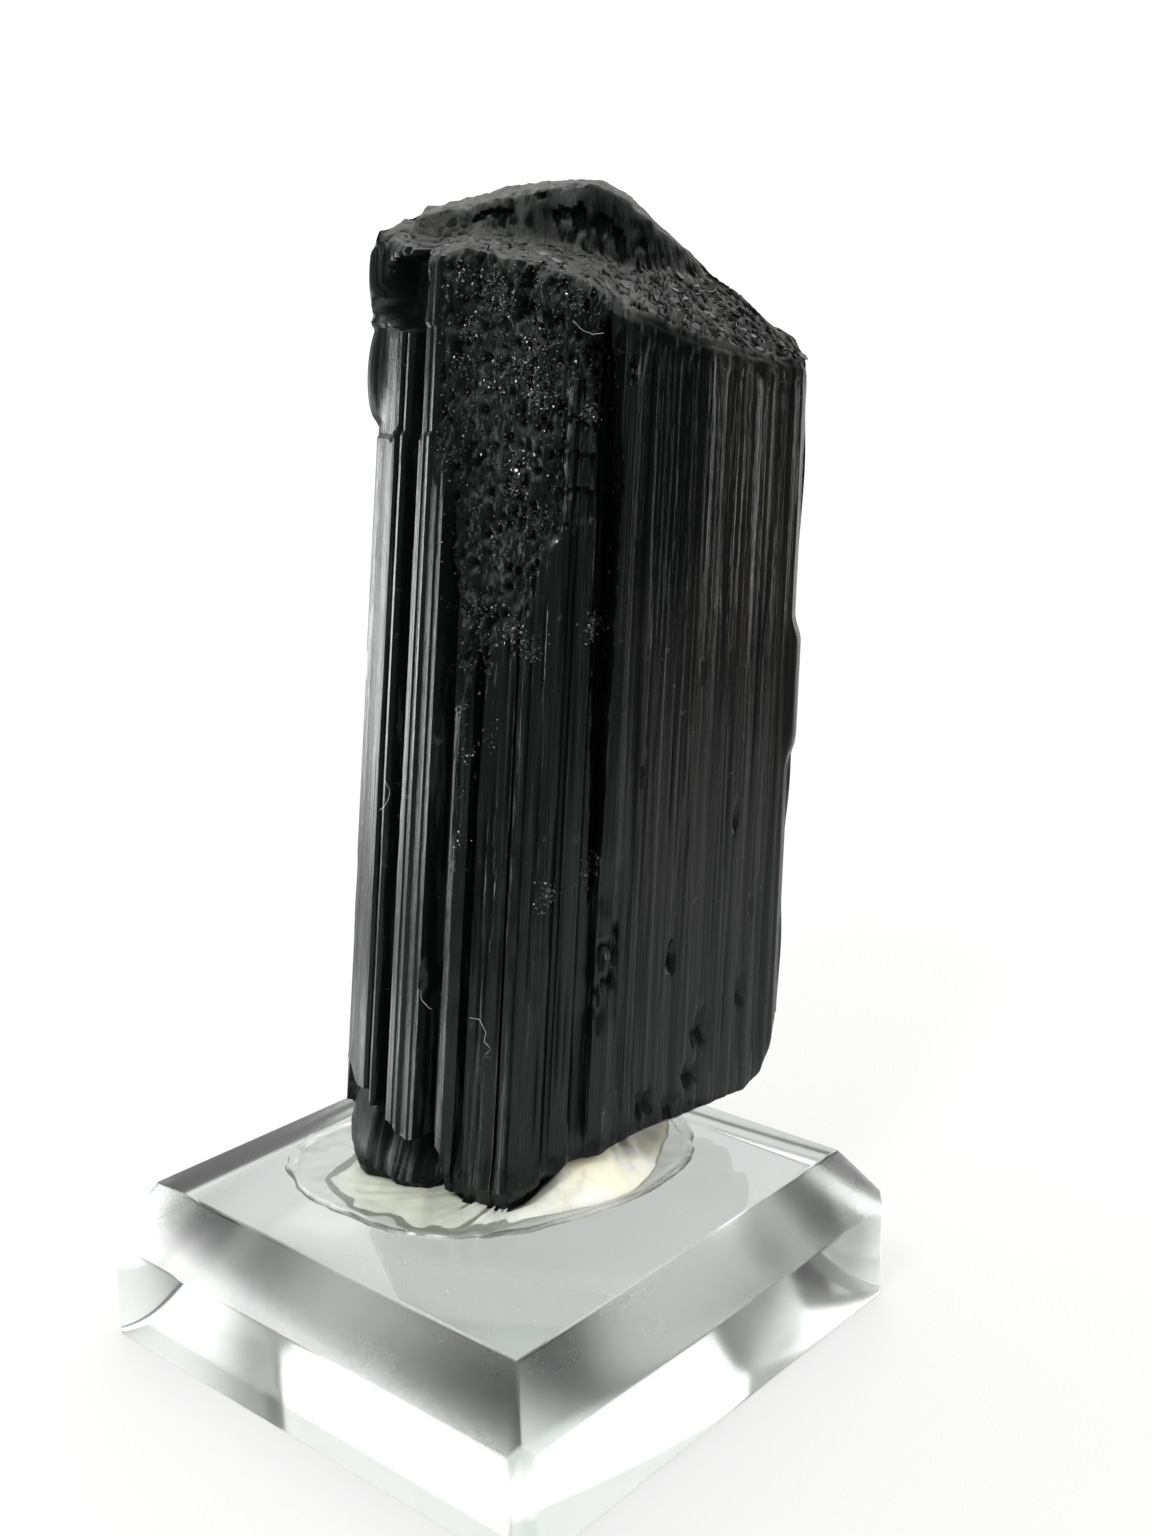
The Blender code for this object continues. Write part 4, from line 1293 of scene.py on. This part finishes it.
def panel(name, power, size, bearing, rise, distance):
    light = areaLight(name, power, size)
    az, rise = math.radians(viewShape["azimuth"] - bearing), math.radians(rise)
    way = Vector((-math.sin(az) * math.cos(rise), math.cos(az) * math.cos(rise), math.sin(rise)))
    light.location = Vector((0.0, 0.0, stageLook["aimHeight"])) + way * distance
    light.rotation_mode = "QUATERNION"
    light.rotation_quaternion = way.to_track_quat("Z", "Y")


def lowPanel(stone):
    # lies on the floor and is mirrored by the lower part of the stone only
    light = areaLight("lowPanel", stageLook["lowPanel"], stageLook["lowPanelSize"])
    az = math.radians(viewShape["azimuth"] - stageLook["lowPanelBearing"])
    distance = stageLook["lowPanelDistance"]
    light.location = (-math.sin(az) * distance, math.cos(az) * distance, 0.0005)
    light.rotation_euler = (math.pi, 0.0, az)
    light.visible_diffuse = False
    mirrors = bpy.data.collections.new("lowPanelMirrors")
    mirrors.objects.link(stone)
    light.light_linking.receiver_collection = mirrors


def setLight(stone):
    look = stageLook
    scene = bpy.context.scene
    scene.view_settings.view_transform = "Standard"
    scene.world = bpy.data.worlds.new("paleRoom")
    scene.world.use_nodes = True
    net = Net(scene.world.node_tree)
    way = net.out("ShaderNodeTexCoord", None, "Generated")
    ahead, right = (tuple(Vector((v.x, v.y, 0.0)).normalized()) for v in sightLines()[:2])
    up = net.parts(way)[2]
    bearing = net.dot(way, right).math("ARCTAN2", net.dot(way, ahead)) * math.degrees(1.0)
    turned = bearing.math("ABSOLUTE")
    # pale in front, dark at the sides, a little light behind the camera and much of it above
    room = look["dark"] + look["bright"] * (1.0 - turned.step(*look["paleSide"]))
    room = room + look["behind"] * turned.step(100.0, 150.0) + look["below"] * (1.0 - up.step(-0.30, 0.0))
    room = room + look["above"] * up.step(0.42, 0.80)
    # the block gathers light from a paler room than the stone mirrors
    path = net.add("ShaderNodeLightPath")
    through = Wire(net, path.outputs["Transmission Depth"]).math("MINIMUM", 1.0)
    low = 1.0 - up.step(0.30, 0.50)
    softRoom = look["softLevel"] + look["softLow"] * low * (1.0 - turned.step(75.0, 100.0))
    softRoom = softRoom - look["softSides"] * low * turned.step(84.0, 104.0)
    room = room + through * (softRoom - room)
    # the backdrop itself is plain white
    room = room + Wire(net, path.outputs["Is Camera Ray"]) * (1.1 - room)
    background = net.tree.nodes["Background"]
    net.put(background.inputs["Strength"], room)
    net.put(background.inputs["Color"], (1.0, 1.0, 1.0, 1.0))
    for name, settings in panels.items():
        panel(name, *settings)
    lowPanel(stone)


def setFloor():
    material, net, shader = shaderNet("paleFloor")
    setShader(net, shader, Base_Color=stageLook["floor"], Roughness=0.6, Emission_Color=(1.0, 1.0, 1.0, 1.0),
              Emission_Strength=stageLook["floorGlow"])
    radius = stageLook["floorRadius"]
    turns = np.linspace(0.0, 2.0 * math.pi, 97)[:-1]
    rim = [(radius * math.cos(turn), radius * math.sin(turn), -2e-5) for turn in turns]
    newMesh("paleFloor", rim, [range(len(rim))], material)


# the pieces

blackTourmaline = tourmalineMaterial()
looseStone = glintMaterial()
body = crystalBody(blackTourmaline)
growRibs(body)
markDust(body.data)
dress(body, "crystal")
print("crystal", len(body.data.polygons), "faces")

grains = scatter("vugGrains", body, "glinting", grainLook, looseStone, 5)
dress(grains, "crystal")
flakes = scatter("endFlakes", body, "scaly", flakeLook, blackTourmaline, 6)
dress(flakes, "crystal")
print("grains", len(grains.data.polygons), "and flakes", len(flakes.data.polygons), "faces")

block = displayBlock(glassMaterial())
dress(block, "base")
print("block made")

specks = scatter("blockSpecks", block, "dusty", speckLook, paleDustMaterial(), 5)
dress(specks, "base")
threads = fibres(paleDustMaterial())
dress(threads, "crystal")
print("specks and fibres made")

pad = flatMound("puttyPad", creamShape, creamHeight, puttyMaterial())
dress(pad, "putty")
film = flatMound("clearFilm", filmShape, filmHeight, filmMaterial())
dress(film, "putty")
print("putty made")

setFloor()
setLight(body)
setCamera()
print("floor, light and camera set")
